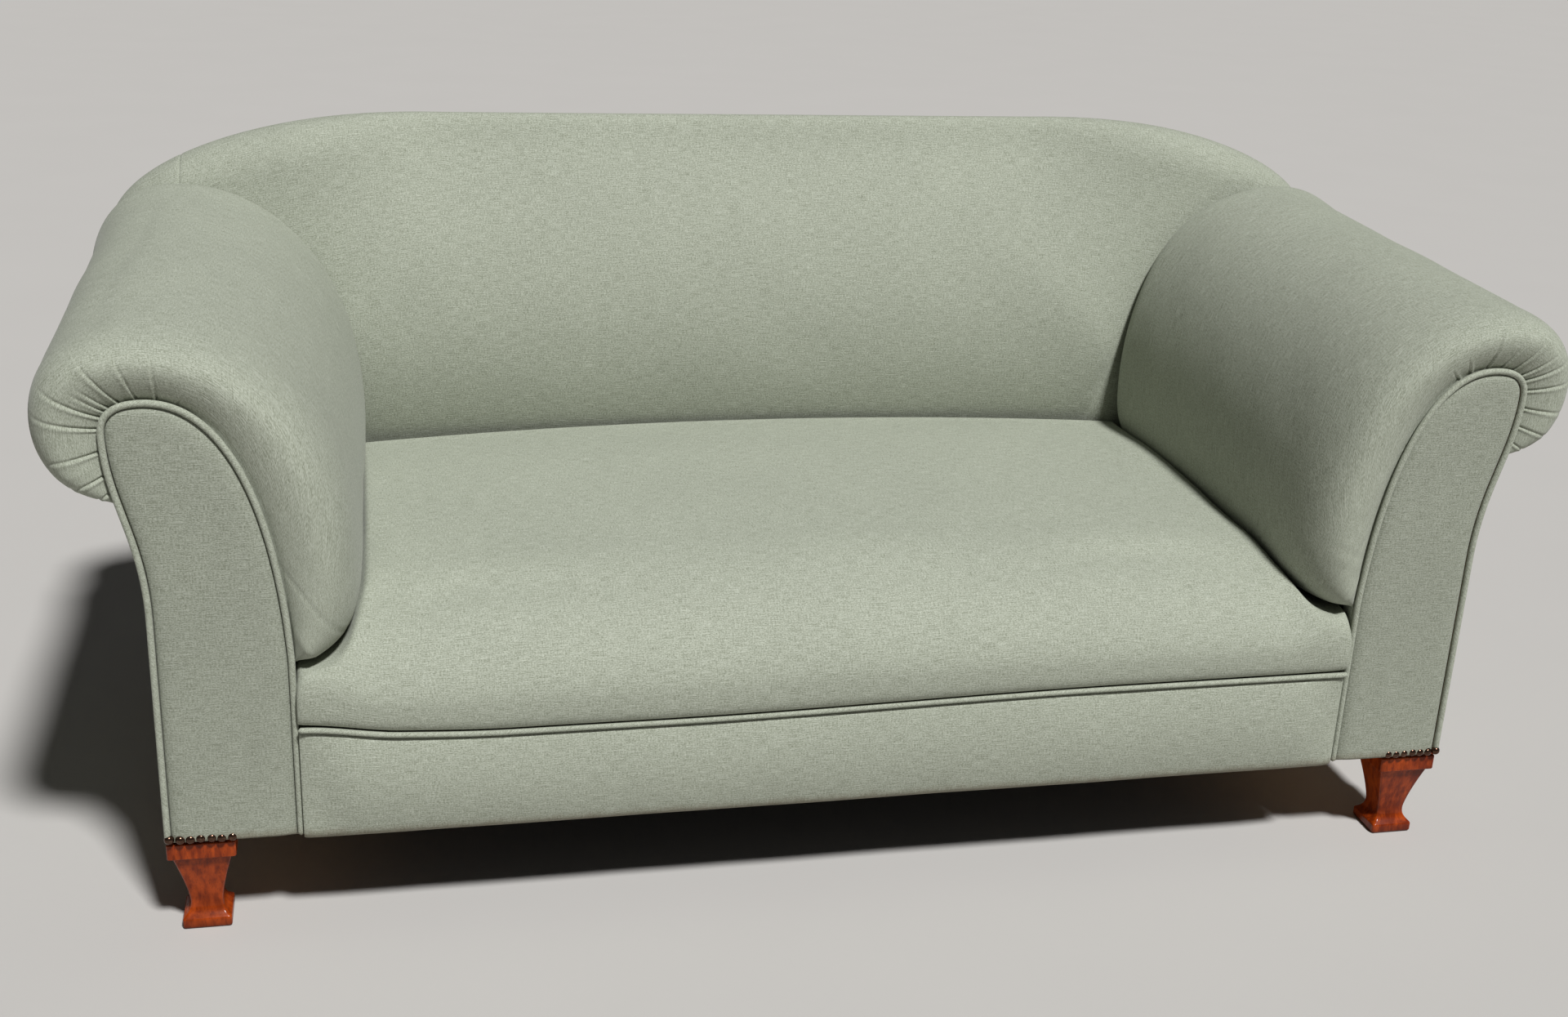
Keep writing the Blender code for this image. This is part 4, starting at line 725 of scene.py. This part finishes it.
# Seat pad, front border and its piping
seatShape = {"overhang": 0.017, "start": -0.007, "nose": 0.213, "crest": 0.170, "crestDrop": 0.007,
             "rearDrop": 0.012, "edge": 0.015, "endPull": 0.016, "crownFall": 0.18, "power": 44.0, "root": 5.0,
             "swell": 0.004, "leftEnd": 0.6308, "rightEnd": 0.6290, "leftClear": 0.001, "rightClear": 0.003,
             "cornerLift": 0.016, "blend": 0.004, "wave": 0.0018, "phase": 1.3, "tuckIn": 0.016,
             "innerRise": 0.0012, "innerFront": 0.03, "rows": 145, "columns": 301, "settle": (0.008, 1.5),
             "freeRows": (30, 18), "freeEnds": 0.16}
borderShape = {"proud": 0.008, "thick": 0.0197, "topRound": 0.0045, "footRound": 0.010, "bulge": 0.0105,
               "bulgeRun": 0.060, "endIn": 0.003, "endRun": 0.016, "lap": 0.005, "fullRun": 0.012,
               "sag": 0.008, "sagFrom": (-0.62, 0.22), "sagTo": (-0.22, 0.55), "leftLift": 0.009, "liftRun": 0.11,
               "cord": 0.0033, "cordOut": 0.0012, "cordRise": 0.0034, "wave": 0.0008, "phase": 3.1, "rows": 61,
               "columns": 301, "leftEnd": 0.6300, "rightEnd": 0.6262}


def seatRear(z):
    return backPlane(-sofa["wing"] - seatShape["swell"], z) - sofa["gap"]


def cordSag(x):  # the piping falls from the left end, dips left of the middle and comes level again at the right
    f = borderShape
    dip = f["sag"] * rampUp(x, *f["sagFrom"]) * (1 - rampUp(x, *f["sagTo"]))
    return dip - f["leftLift"] * (1 - rampUp(x, -seatShape["leftEnd"], f["liftRun"]))


def acrossSeat(count, shape):  # places across, closer together at the ends, and their share of the way to each end
    s = np.sin(np.pi / 2 * np.linspace(-1, 1, count))[None]
    return s * np.where(s < 0, shape["leftEnd"], shape["rightEnd"]), np.abs(s)


def underArm(x):  # highest that the seat may stand below each arm's pad
    clear = np.where(x < 0, seatShape["leftClear"], seatShape["rightClear"])
    sections = [padProfile(np.linspace(bulgeAt, 0, 200), share) for share in (0.0, 0.5, 1.0)]
    return np.min([np.interp(np.abs(x), padX, padZ, left=1.0) for padX, padZ in sections], axis=0) - clear


def seatPad():
    # one section from under the nose to the back, scaled down towards both ends by a crown
    f = seatShape
    high = sofa["seatTop"] - sofa["seatBase"]
    rearZ = high - f["rearDrop"]
    rearY = seatRear(sofa["seatBase"] + rearZ) - sofa["faceY"]
    run, noseY, crestZ = rearY - f["crest"], -f["overhang"], high - f["crestDrop"]
    a = np.linspace(0, 1, 400)
    y = np.r_[f["start"] + f["tuckIn"], cubic(a, f["start"], noseY, noseY, noseY),
              cubic(a, noseY, noseY, f["crest"] - 0.60 * (f["crest"] - noseY), f["crest"])[1:],
              cubic(a, f["crest"], f["crest"] + 0.33 * run, rearY - 0.33 * run, rearY)[1:]]
    z = np.r_[0.0, cubic(a, 0, 0.02 * high, 0.10 * high, f["nose"] * high),
              cubic(a, f["nose"] * high, 0.52 * high, crestZ, crestZ)[1:],
              cubic(a, crestZ, high + 0.3 * f["crestDrop"], high + 0.2 * f["crestDrop"], rearZ)[1:]]
    line = respaced(gridOf(y, z), f["rows"])
    y, z = line[:, :1], line[:, 1:]
    x, reach = acrossSeat(f["columns"], f)
    crown = (1 - f["crownFall"] * reach**2) * np.maximum(1 - reach ** f["power"], 0) ** (1 / f["root"])
    scale = (f["edge"] + (high - f["edge"]) * crown) / high
    ahead = np.maximum(0, 1 - (y + f["overhang"]) / f["crest"])
    worldZ = sofa["seatBase"] + z * scale
    worldY = sofa["faceY"] + y + f["endPull"] * (1 - scale) * ahead
    top = smooth(z / (0.6 * high)) * smooth(12 * (1 - reach)) * smooth((rearY - y) / 0.05)
    worldZ = worldZ + f["wave"] * unevenness(x, y, f["phase"]) * top - cordSag(x) * (1 - smooth(z / (0.75 * high)))
    corner = rampUp(reach, 0.86, 0.10) * smooth(z / (0.35 * high)) * (1 - rampUp(y, 0.02, 0.12))
    worldZ = worldZ + f["cornerLift"] * corner
    worldY = np.minimum(worldY, seatRear(worldZ))
    outer = gridOf(x, worldY, worldZ)
    inner = outer.copy()
    inner[..., 2] = sofa["seatBase"] + f["innerRise"] - cordSag(x)
    back = np.linspace(0, 1, f["rows"])[:, None]
    inner[..., 1] = sofa["faceY"] + f["innerFront"] + (rearY - 2 * f["innerFront"]) * back
    free = rampUp(np.arange(f["rows"])[:, None], *f["freeRows"]) * smooth((1 - reach) / f["freeEnds"] - 0.25)
    outer = settled("seatPad", outer, inner, *f["settle"], free)
    outer[..., 2] = -f["blend"] * np.logaddexp(-outer[..., 2] / f["blend"], -underArm(outer[..., 0]) / f["blend"])
    uv = gridOf(x, runAlong(line, 0)[:, None])
    addPiece("seatPad", shell(outer, inner, uv), linen, replaced=["seat_pad"])


def frontBorder():
    # a panel section with rounded top and foot, its face a little full, drawn back at both ends
    f = borderShape
    front, rear = -f["proud"], f["thick"] - f["proud"]
    top, foot = sofa["borderTop"] - sofa["gap"], sofa["sillBottom"]
    a = np.linspace(0, np.pi / 2, 40)
    b = np.linspace(0, 1, 200)
    y = np.r_[rear - f["lap"], front + f["topRound"] * (1 - np.sin(a)), np.full(200, front),
              front + f["footRound"] * (1 - np.cos(a)), rear - f["lap"]]
    z = np.r_[top, top - f["topRound"] * (1 - np.cos(a)),
              top - f["topRound"] + (foot + f["footRound"] - top + f["topRound"]) * b,
              foot + f["footRound"] * (1 - np.sin(a)), foot]
    line = respaced(gridOf(y, z), f["rows"])
    y, z = line[:, :1], line[:, 1:]
    x, reach = acrossSeat(f["columns"], f)
    fromEnd = np.clip((1 - reach) * sofa["seatHalf"] / f["endRun"], 0, 1)
    share = (z - foot) / (top - foot)
    full = f["bulge"] * 4 * share * (1 - share) * smooth((rear - y) / f["fullRun"])
    full = full * smooth((1 - reach) * sofa["seatHalf"] / f["bulgeRun"])
    wave = f["wave"] * unevenness(x, z, f["phase"]) * smooth(fromEnd)
    worldY = sofa["faceY"] + y - full - wave + f["endIn"] * (1 - np.sqrt(1 - (1 - fromEnd) ** 2))
    worldY = np.minimum(worldY, sofa["faceY"] + rear - 0.002)
    worldZ = z - cordSag(x) * share
    outer = gridOf(x, worldY, worldZ)
    inner = outer.copy()
    inner[..., 1] = sofa["faceY"] + rear
    uv = gridOf(x, runAlong(line, 0)[:, None])
    addPiece("frontBorder", shell(outer, inner, uv), linen, replaced=["front_border"])
    x = np.linspace(-seatShape["leftEnd"], seatShape["rightEnd"], 420)
    path = gridOf(x, sofa["faceY"] - f["proud"] - f["cordOut"], sofa["borderTop"] + f["cordRise"] - cordSag(x))
    addPiece("borderPiping", tube(path, f["cord"]), linen, replaced=["border_piping"])


seatPad()
frontBorder()
print("stage: seat made")

# Back pad, outside cover and the bands at its ends
def backPad():
    # section: a front that swells between the arms, a half-round top and a lip over the rail, carried across;
    # past the wings its foot climbs and it thins to a rounded end
    f = backShape
    reach = sofa["backEnd"] - sofa["gap"]
    nearSeam = f["seam"] + np.array([-0.0045, -0.0022, -0.0011, 0, 0.0011, 0.0022, 0.0045])
    across = np.sort(np.r_[reach * np.sin(np.pi / 2 * np.linspace(-1, 1, f["columns"])), nearSeam, -nearSeam])
    turn = np.linspace(0, 0.96 * np.pi / 2, 7)[1:]
    past = f["endRound"] * np.sin(turn)
    x = np.r_[-reach - past[::-1], across, reach + past][None]
    shrink = np.r_[np.cos(turn)[::-1], np.ones(across.size), np.cos(turn)][None]
    at = np.clip(x, -reach, reach)
    shoulder = backTop(at) - sofa["backRoll"]
    wing = sofa["outX"] - sofa["cover"]
    pastWing = np.maximum(np.abs(at) - wing, 0) / (sofa["backEnd"] - wing)
    padFoot = (sofa["sillTop"] + f["footGap"] - sofa["seatTop"]) / leanCos
    foot = padFoot + f["footClimb"] * (shoulder - padFoot) * pastWing**0.4
    thin = np.sqrt(1 - f["thinning"] * pastWing**2)
    frontZ = foot + (shoulder - foot) * np.linspace(0, 1, f["frontRows"])[:, None]
    frontY = backFront(at, frontZ) - sofa["wing"] * thin
    wave = smooth((0.52 - np.abs(at)) / 0.1) * smooth((frontZ - 0.02) / 0.08) * smooth((shoulder - frontZ) / 0.05)
    frontY = frontY - f["wave"] * unevenness(at, frontZ, f["phase"]) * wave
    endY = frontY[-1:]
    slope = np.maximum(endY - frontY[-2:-1], 0) / (frontZ[-1:] - frontZ[-2:-1])
    ridgeY, top = (endY + sofa["lipY"]) / 2, shoulder + sofa["backRoll"] - f["topLower"] * backAway(at, shoulder)
    t = np.linspace(0, 1, f["turnRows"] + 1)[1:, None]
    angle = np.linspace(0, np.pi / 2, f["turnRows"] + 1)[1:, None]
    rise = 0.62 * sofa["backRoll"]
    y = np.concatenate([frontY, cubic(t, endY, endY + slope * rise, ridgeY - 0.55 * (ridgeY - endY), ridgeY),
                        ridgeY + (sofa["lipY"] - ridgeY) * np.sin(angle)])
    z = np.concatenate([frontZ, cubic(t, shoulder, shoulder + rise, top, top),
                        shoulder + (top - shoulder) * np.cos(angle)])
    hook = sofa["backRoll"] - f["topPad"] + sofa["gap"]
    behind = sofa["timber"] + sofa["gap"]
    corner = np.cumsum([0, hook, behind + sofa["gap"], hook])
    walk = np.linspace(0, corner[-1], f["slotRows"] + 1)[1:, None]
    innerY = np.interp(walk, corner, [-sofa["gap"], -sofa["gap"], behind, behind])
    closing = f["slotClose"] * rampUp(np.abs(at) / reach, f["slotFrom"], f["slotRun"])
    innerZ = np.interp(walk, corner, [0, hook, hook, 0]) * (1 - closing) + shoulder
    innerY = np.concatenate([np.full_like(frontZ, -sofa["gap"]), np.broadcast_to(innerY, innerZ.shape)])
    innerZ = np.concatenate([frontZ, innerZ])
    centreY, centreZ = (y.min(0) + y.max(0)) / 2, (z.min(0) + z.max(0)) / 2
    outer = leanBack(x, centreY + (y - centreY) * shrink, centreZ + (z - centreZ) * shrink)
    inner = leanBack(x, centreY + (innerY - centreY) * shrink, centreZ + (innerZ - centreZ) * shrink)
    row = np.arange(len(y))[:, None]
    free = smooth((f["freeWide"] - np.abs(x)) / f["freeRun"])
    free = free * rampUp(row, *f["freeFoot"]) * (1 - rampUp(row, *f["freeTop"]))
    outer = settled("backPad", outer, inner, *f["settle"], free)
    groove = hump(np.abs(x), f["seam"], f["seamWide"]) * rampUp(row, 4, 10)
    outer = outer - f["seamDeep"] * outwards(outer, inner) * groove[..., None]
    along, up = runAlong(outer, 1), runAlong(outer, 0)
    middle, ridge = x.size // 2, f["frontRows"] - 1
    uv = np.stack([along - along[:, middle:middle + 1], up - up[ridge:ridge + 1]], -1)
    addPiece("backPad", shell(outer, inner, uv), linen, replaced=["back_pad"])


def coverSide():  # the outside back's edge: straight, then an S out to the wing, as (x, z) points
    f = backShape
    flareTop = float(backTop(f["coverReach"])) - sofa["backRoll"] - sofa["gap"]
    t = np.linspace(0, 1, 80)
    x = cubic(t, sofa["outX"], sofa["outX"], f["coverReach"], f["coverReach"])
    return x, cubic(t, 0.0, flareTop / 2, flareTop / 2, flareTop)


def outsideBack():
    # rows of one height each, as wide as the cover's edge is there, bowed a little
    f = backShape
    sideX, sideZ = coverSide()
    foot = (sofa["sillBottom"] - sofa["seatTop"] + (sofa["timber"] + sofa["cover"]) * leanSin) / leanCos
    top = sofa["backTop"] - sofa["backRoll"] - sofa["gap"]
    corner = np.linspace(sideZ[-1], top, 60)
    drop = 1 - (top - corner) / f["cornerDrop"]
    cornerX = sofa["backEnd"] - f["cornerWide"] + f["cornerWide"] * np.sqrt(np.clip(1 - drop**2, 0, 1))
    z = top - (top - foot) * np.linspace(1, 0, steps["fine"])[:, None] ** 1.3
    wide = np.interp(z, np.r_[foot, sideZ, corner[1:]], np.r_[sofa["outX"], sideX, cornerX[1:]])
    s = np.sin(np.pi / 2 * np.linspace(-1, 1, steps["fine"]))[None]
    bow = f["coverBow"] * (1 - s**4) * np.sin(np.pi * (z - foot) / (top - foot)) ** 0.6
    face = sofa["timber"] + sofa["gap"] + sofa["cover"]
    wave = f["coverWave"] * unevenness(wide * s, z, f["coverPhase"]) * (1 - s**2)
    outer = leanBack(wide * s, face + bow + wave, z)
    inner = leanBack(wide * s, face + bow - f["coverThick"], z)
    piece = addPiece("outsideBack", shell(outer, inner, gridOf(wide * s, z)), linen, replaced=["outside_back"])


def backSide(name, side, node):
    # the cover's edge carried forward round the timber
    f = backShape
    sideX, sideZ = coverSide()
    clear = (sofa["sillTop"] + sofa["gap"] - sofa["seatTop"] + sofa["timber"] * leanSin) / leanCos
    line = respaced(np.stack([np.r_[sofa["outX"], sideX], np.r_[clear, sideZ]], 1), steps["fine"])
    way = wayAlong(line)
    share = np.linspace(0, 1, steps["strip"])[None]
    y = sofa["gap"] + (sofa["timber"] - sofa["gap"]) * share
    full = -f["sideFull"] + f["sideFull"] * np.sin(np.pi * share)
    skins = [leanBack(side * (line[:, :1] + (full - thick) * way[:, 1:]), y,
                      line[:, 1:] - (full - thick) * way[:, :1]) for thick in (0.0, f["coverThick"])]
    uv = gridOf(y, runAlong(line, 0)[:, None])
    piece = addPiece(name, shell(*skins, uv), linen, replaced=[node])


backPad()
outsideBack()
backSide("leftBackSide", -1, "left_back_side")
backSide("rightBackSide", 1, "right_back_side")
print("stage: back made")

# Smaller cloth: sill band, sill wrap, arm lining, bottom cloth and webbing
sillBandShape = {"inX": 0.7676, "frontY": 0.033, "top": 0.1346, "round": 0.002}
sillWrapShape = {"outX": 0.7668, "thick": 0.0015, "frontY": 0.2005, "rearY": 0.3206, "foot": 0.1166, "top": 0.1440}
liningShape = {"x": 0.6340, "thick": 0.0025, "front": 0.0293, "rear": 0.0231, "drop": 0.18, "foot": 0.1489,
               "top": 0.3327, "slack": 0.0012, "phase": 0.4}
underShape = {"front": 0.012, "top": 0.1158, "thick": 0.0008, "sag": 0.004, "phase": 2.8, "endRun": 0.12,
              "sideRun": 0.1, "braceHalf": 0.12}
webShape = {"strap": 0.050, "columns": 10, "rows": 5, "middle": 0.2490, "lift": 0.00046, "thick": 0.0009,
            "front": 0.012}


def ringSkin(rings):  # rings of points in a row, closed round and capped at both ends
    index = np.arange(rings[..., 0].size).reshape(rings.shape[:2])
    around = np.concatenate([index, index[:, :1]], axis=1)
    uv = np.stack([runAlong(rings, 0), runAlong(rings, 1)], -1)
    return rings.reshape(-1, 3), uv.reshape(-1, 2), [gridFaces(around), index[:1, ::-1], index[-1:]]


def roundedBox(halfX, halfY, radius, steps):  # a rectangle with round corners, as (x, y) points in a ring
    turn = np.linspace(0, np.pi / 2, steps)
    parts = []
    for k, (sx, sy) in enumerate(((1, 1), (-1, 1), (-1, -1), (1, -1))):
        angle = turn + k * np.pi / 2
        parts.append(np.stack([sx * (halfX - radius) + radius * np.cos(angle),
                               sy * (halfY - radius) + radius * np.sin(angle)], 1))
    return np.concatenate(parts)


def sillBand():
    # a rounded box section carried along the sill's outer side
    f = sillBandShape
    ring = roundedBox((sofa["outX"] - f["inX"]) / 2, (f["top"] - sofa["sillBottom"]) / 2, f["round"], 5)
    y = np.linspace(sofa["faceY"] + f["frontY"], sofa["sillEnd"], 60)
    rings = gridOf((sofa["outX"] + f["inX"]) / 2 + ring[None, :, 0], y[:, None],
                   (f["top"] + sofa["sillBottom"]) / 2 + ring[None, :, 1])
    addPiece("sillBand", ringSkin(rings), linen, replaced=["sill_band"])


def sillWrap():
    # a flat cloth on the fixed arm's sill, behind the arm
    f = sillWrapShape
    y = np.linspace(f["frontY"], f["rearY"], steps["middle"])[None]
    z = np.linspace(f["foot"], f["top"], steps["coarse"])[:, None]
    skins = [gridOf(-x, y, z) for x in (f["outX"], f["outX"] - f["thick"])]
    piece = addPiece("leftSillWrap", shell(*skins, gridOf(y, z)), linen)


def armLining():
    # a flat curtain inside the drop arm with slow slack
    f = liningShape
    z = np.linspace(f["foot"], f["top"], steps["middle"])[:, None]
    share = np.linspace(0, 1, steps["fine"])[None]
    start = sofa["faceY"] + f["front"]
    y = start + (armRear(sofa["padFoot"] - f["drop"]) - f["rear"] - start) * share
    slack = f["slack"] * (1 + unevenness(y, z, f["phase"])) * np.sin(np.pi * share) * np.sin(
        np.pi * (z - f["foot"]) / (f["top"] - f["foot"]))
    skins = [gridOf(f["x"] + slack + thick, y, z) for thick in (0.0, f["thick"])]
    piece = addPiece("dropArmLining", shell(*skins, gridOf(y, z)), lining, "drop_arm",
                     ["drop_arm_lining"])


def bottomCloth():
    # a level cloth under the rails that sags between them
    f = underShape
    half, rear = sofa["seatHalf"], float(seatRear(sofa["seatBase"])) - sofa["gap"]
    x = np.linspace(-half, half, steps["fine"])[None]
    y = np.linspace(sofa["faceY"] + f["front"], rear, steps["middle"])[:, None]
    inside = smooth((half - np.abs(x)) / f["endRun"]) * smooth((y - y[0]) / f["sideRun"])
    inside = inside * smooth((rear - y) / f["sideRun"])
    drop = f["sag"] * inside * (1 + 0.3 * unevenness(x, y, f["phase"]))
    drop = drop * (0.55 + 0.45 * smooth(np.abs(x) / f["braceHalf"]))  # held up by the brace
    skins = [gridOf(x, y, f["top"] - drop - thick) for thick in (f["thick"], 0.0)]
    piece = addPiece("bottomCloth", shell(*skins, gridOf(x, y)), lining, "sofa_frame", ["bottom_cloth"])


def seatWebbing():
    # straps both ways, each a ribbon whose height follows a cosine so that it goes over and under
    f = webShape
    half, rear = sofa["seatHalf"], float(seatRear(sofa["seatBase"])) - sofa["gap"]
    front = sofa["faceY"] + f["front"]
    xs = np.linspace(-half + f["strap"] / 2, half - f["strap"] / 2, f["columns"])
    ys = np.linspace(front + f["strap"] / 2, rear - f["strap"] / 2, f["rows"])
    pitchX, pitchY = xs[1] - xs[0], ys[1] - ys[0]
    side = np.linspace(-0.5, 0.5, 3)[None] * f["strap"]
    parts = []
    for k, x in enumerate(xs):
        y = np.linspace(front, rear, 81)[:, None]
        z = f["middle"] + f["lift"] * (-1) ** k * np.cos(np.pi * (y - ys[0]) / pitchY)
        top = gridOf(x + side, y, z + f["thick"] / 2)
        parts.append(shell(top, top - (0, 0, f["thick"]), gridOf(side + k, y), 1))
    for k, y in enumerate(ys):
        x = np.linspace(-half, half, 161)[:, None]
        z = f["middle"] - f["lift"] * (-1) ** k * np.cos(np.pi * (x - xs[0]) / pitchX)
        top = gridOf(x, y - side, z + f["thick"] / 2)
        parts.append(shell(top, top - (0, 0, f["thick"]), gridOf(side + k, x), 1))
    addPiece("seatWebbing", joined(parts), jute, "sofa_frame", ["seat_webbing"])


sillBand()
sillWrap()
armLining()
bottomCloth()
seatWebbing()
print("stage: small cloth made")

# Legs and dome nails
legShape = {"cap": 0.075, "capHigh": 0.0195, "shank": 0.0655, "neck": 0.0355, "neckHigh": 0.0315, "foot": 0.054,
            "band": 0.0125, "high": 0.116, "setback": 0.004, "round": 0.0030, "edge": 0.0016, "flare": 1.3,
            "ease": 0.0009, "sharp": 38}
rearLegShape = {"top": 0.050, "foot": 0.034, "rake": 0.030, "round": 0.004, "worn": 0.0012}
nailShape = {"count": 7, "radius": 0.0056, "dome": 0.0050, "rim": 0.0007, "sunk": 0.0012, "pitch": 0.0112,
             "firstX": 0.7075, "high": 0.1252, "errorX": 0.0004, "errorZ": 0.0006,
             "domeShare": 0.97, "tip": 0.0001}


def frontLegSizes():  # (height, half width): foot band, hollow sweep up to the neck, flare, plain cap
    f = legShape
    a = np.linspace(0, np.pi / 2, 7)
    t = np.linspace(0, 1, 34)
    capFoot, e = f["high"] - f["capHigh"], f["edge"]
    rise = 2 * e + (f["neckHigh"] - 2 * e) * t[1:]
    sweep = np.maximum(1 - (rise - f["band"]) / (f["neckHigh"] - f["band"]), 0) ** 3.0
    sweep = f["neck"] / 2 + (f["foot"] - f["neck"]) / 2 * sweep
    foot = f["foot"] / 2 - f["ease"] * np.log1p(np.exp((f["foot"] / 2 - sweep) / f["ease"]))
    z = np.r_[2 * e * (1 - np.cos(a)), rise, f["neckHigh"] + (capFoot - f["neckHigh"]) * t[1:],
              capFoot + e * (1 - np.cos(a)), f["high"] - e * (1 - np.sin(a))]
    w = np.r_[f["foot"] / 2 - 2 * e * (1 - np.sin(a)), foot,
              (f["neck"] + (f["shank"] - f["neck"]) * t[1:] ** f["flare"]) / 2,
              f["cap"] / 2 - e * (1 - np.sin(a)), f["cap"] / 2 - e * (1 - np.cos(a))]
    return z, w


def legRings(x, y, z, half, corner):  # rounded squares stacked up the leg
    unit = np.stack([roundedBox(h, h, min(corner, 0.45 * h), 7) for h in half])
    return gridOf(np.reshape(x, (-1, 1)) + unit[..., 0], np.reshape(y, (-1, 1)) + unit[..., 1], z[:, None])


for label, side in (("left", -1), ("right", 1)):
    z, half = frontLegSizes()
    centreX = side * (sofa["outX"] - legShape["cap"] / 2)
    centreY = sofa["faceY"] + legShape["setback"] + legShape["cap"] / 2
    addPiece(label + "FrontLeg", ringSkin(legRings(centreX, centreY, z, half, legShape["round"])), mahogany,
             "sofa_frame", [f"front_{label}_leg"], legShape["sharp"])
    f = rearLegShape
    t = np.linspace(0, 1, 25)
    half = (f["foot"] + (f["top"] - f["foot"]) * t) / 2 - f["worn"] * (1 - smooth(t / 0.05))
    rings = legRings(side * (sofa["sillOut"] - f["top"] / 2), sofa["sillEnd"] - f["top"] / 2 + f["rake"] * (1 - t),
                     legShape["high"] * t, half, f["round"])
    addPiece(label + "BackLeg", ringSkin(rings), mahogany, "sofa_frame", [f"back_{label}_leg"],
             legShape["sharp"])


def nailRow(name, side, body, shift):
    # each nail a flattened half ball on a thin rim, set in a row with small hand-set errors
    f = nailShape
    a = np.linspace(0, np.pi / 2, 8)
    turn = np.linspace(0, 2 * np.pi, 21)[:-1]
    r = np.r_[f["radius"], f["radius"], f["radius"] * np.cos(a[1:]) * f["domeShare"] + f["tip"]]
    out = np.r_[0.0, f["rim"], f["rim"] + f["dome"] * np.sin(a[1:])]
    parts = []
    for k in range(f["count"]):
        x = side * (f["firstX"] + shift + f["pitch"] * k + f["errorX"] * math.sin(2.3 * k + shift * 900))
        z = f["high"] + f["errorZ"] * math.sin(1.7 * k + 3 * side)
        parts.append(ringSkin(gridOf(x + r[:, None] * np.cos(turn), sofa["faceY"] + f["sunk"] - out[:, None],
                                     z + r[:, None] * np.sin(turn))))
    addPiece(name, joined(parts), nailBronze, body)


nailRow("fixedArmNails", -1, "sofa_frame", 0.0)
nailRow("dropArmNails", 1, "drop_arm", 0.001)
print("stage: legs and nails made")

# Camera at the photograph's angle, floor and light
photoCamera = {"place": (-0.53853, -2.28697, 1.22495), "yaw": 0.228753, "pitch": 0.358299, "roll": 0.0439472,
               "lens": 43.114, "sensor": 36.0}
studio = {"floor": (0.50, 0.485, 0.465), "floorSize": 80.0, "dome": 0.05, "sun": 4.0, "sunWide": 7.0,
          "sunFrom": (0.22, -0.60, 1.0)}


def addCamera(spec):
    yaw, pitch, roll = spec["yaw"], spec["pitch"], spec["roll"]
    forward = Vector((math.sin(yaw) * math.cos(pitch), math.cos(yaw) * math.cos(pitch), -math.sin(pitch)))
    right = Vector((math.cos(yaw), -math.sin(yaw), 0.0))
    up = right.cross(forward)
    rightTurned = right * math.cos(roll) + up * math.sin(roll)
    upTurned = up * math.cos(roll) - right * math.sin(roll)
    data = bpy.data.cameras.new("photoCamera")
    data.lens, data.sensor_width, data.sensor_fit = spec["lens"], spec["sensor"], "HORIZONTAL"
    camera = bpy.data.objects.new("photoCamera", data)
    turn = Matrix((rightTurned, upTurned, -forward)).transposed().to_4x4()
    camera.matrix_world = Matrix.Translation(spec["place"]) @ turn
    bpy.context.scene.collection.objects.link(camera)
    bpy.context.scene.camera = camera


def addFloor(spec):
    # a level square of one grid step, with faint mottling
    material, shader, wire = newFinish("paleFloor", {"Roughness": 0.9, "Specular IOR Level": 0.1})
    place = wire.node("ShaderNodeTexCoord", out=3)
    mottle = wire.noise(place, (3, 3, 3), 3.0)
    wire.feed(shader.inputs["Base Color"], wire.tint(mottle, [0.97 * c for c in spec["floor"]], spec["floor"]))
    half = spec["floorSize"] / 2
    mesh = bpy.data.meshes.new("floor")
    mesh.from_pydata([(-half, -half, 0), (half, -half, 0), (half, half, 0), (-half, half, 0)], [], [(0, 1, 2, 3)])
    mesh.materials.append(material)
    floor = bpy.data.objects.new("floor", mesh)
    bpy.context.scene.collection.objects.link(floor)


def addLight(spec):
    world = bpy.data.worlds.new("studio")
    world.use_nodes = True
    world.node_tree.nodes["Background"].inputs["Color"].default_value = (1.0, 1.0, 1.0, 1.0)
    world.node_tree.nodes["Background"].inputs["Strength"].default_value = spec["dome"]
    bpy.context.scene.world = world
    lamp = bpy.data.lights.new("softSun", "SUN")
    lamp.energy, lamp.angle = spec["sun"], math.radians(spec["sunWide"])
    sun = bpy.data.objects.new("softSun", lamp)
    sun.rotation_euler = (-Vector(spec["sunFrom"])).to_track_quat("-Z", "Y").to_euler()
    bpy.context.scene.collection.objects.link(sun)


addCamera(photoCamera)
addFloor(studio)
addLight(studio)
bpy.context.scene.view_settings.view_transform = "Standard"
print("stage: studio ready")
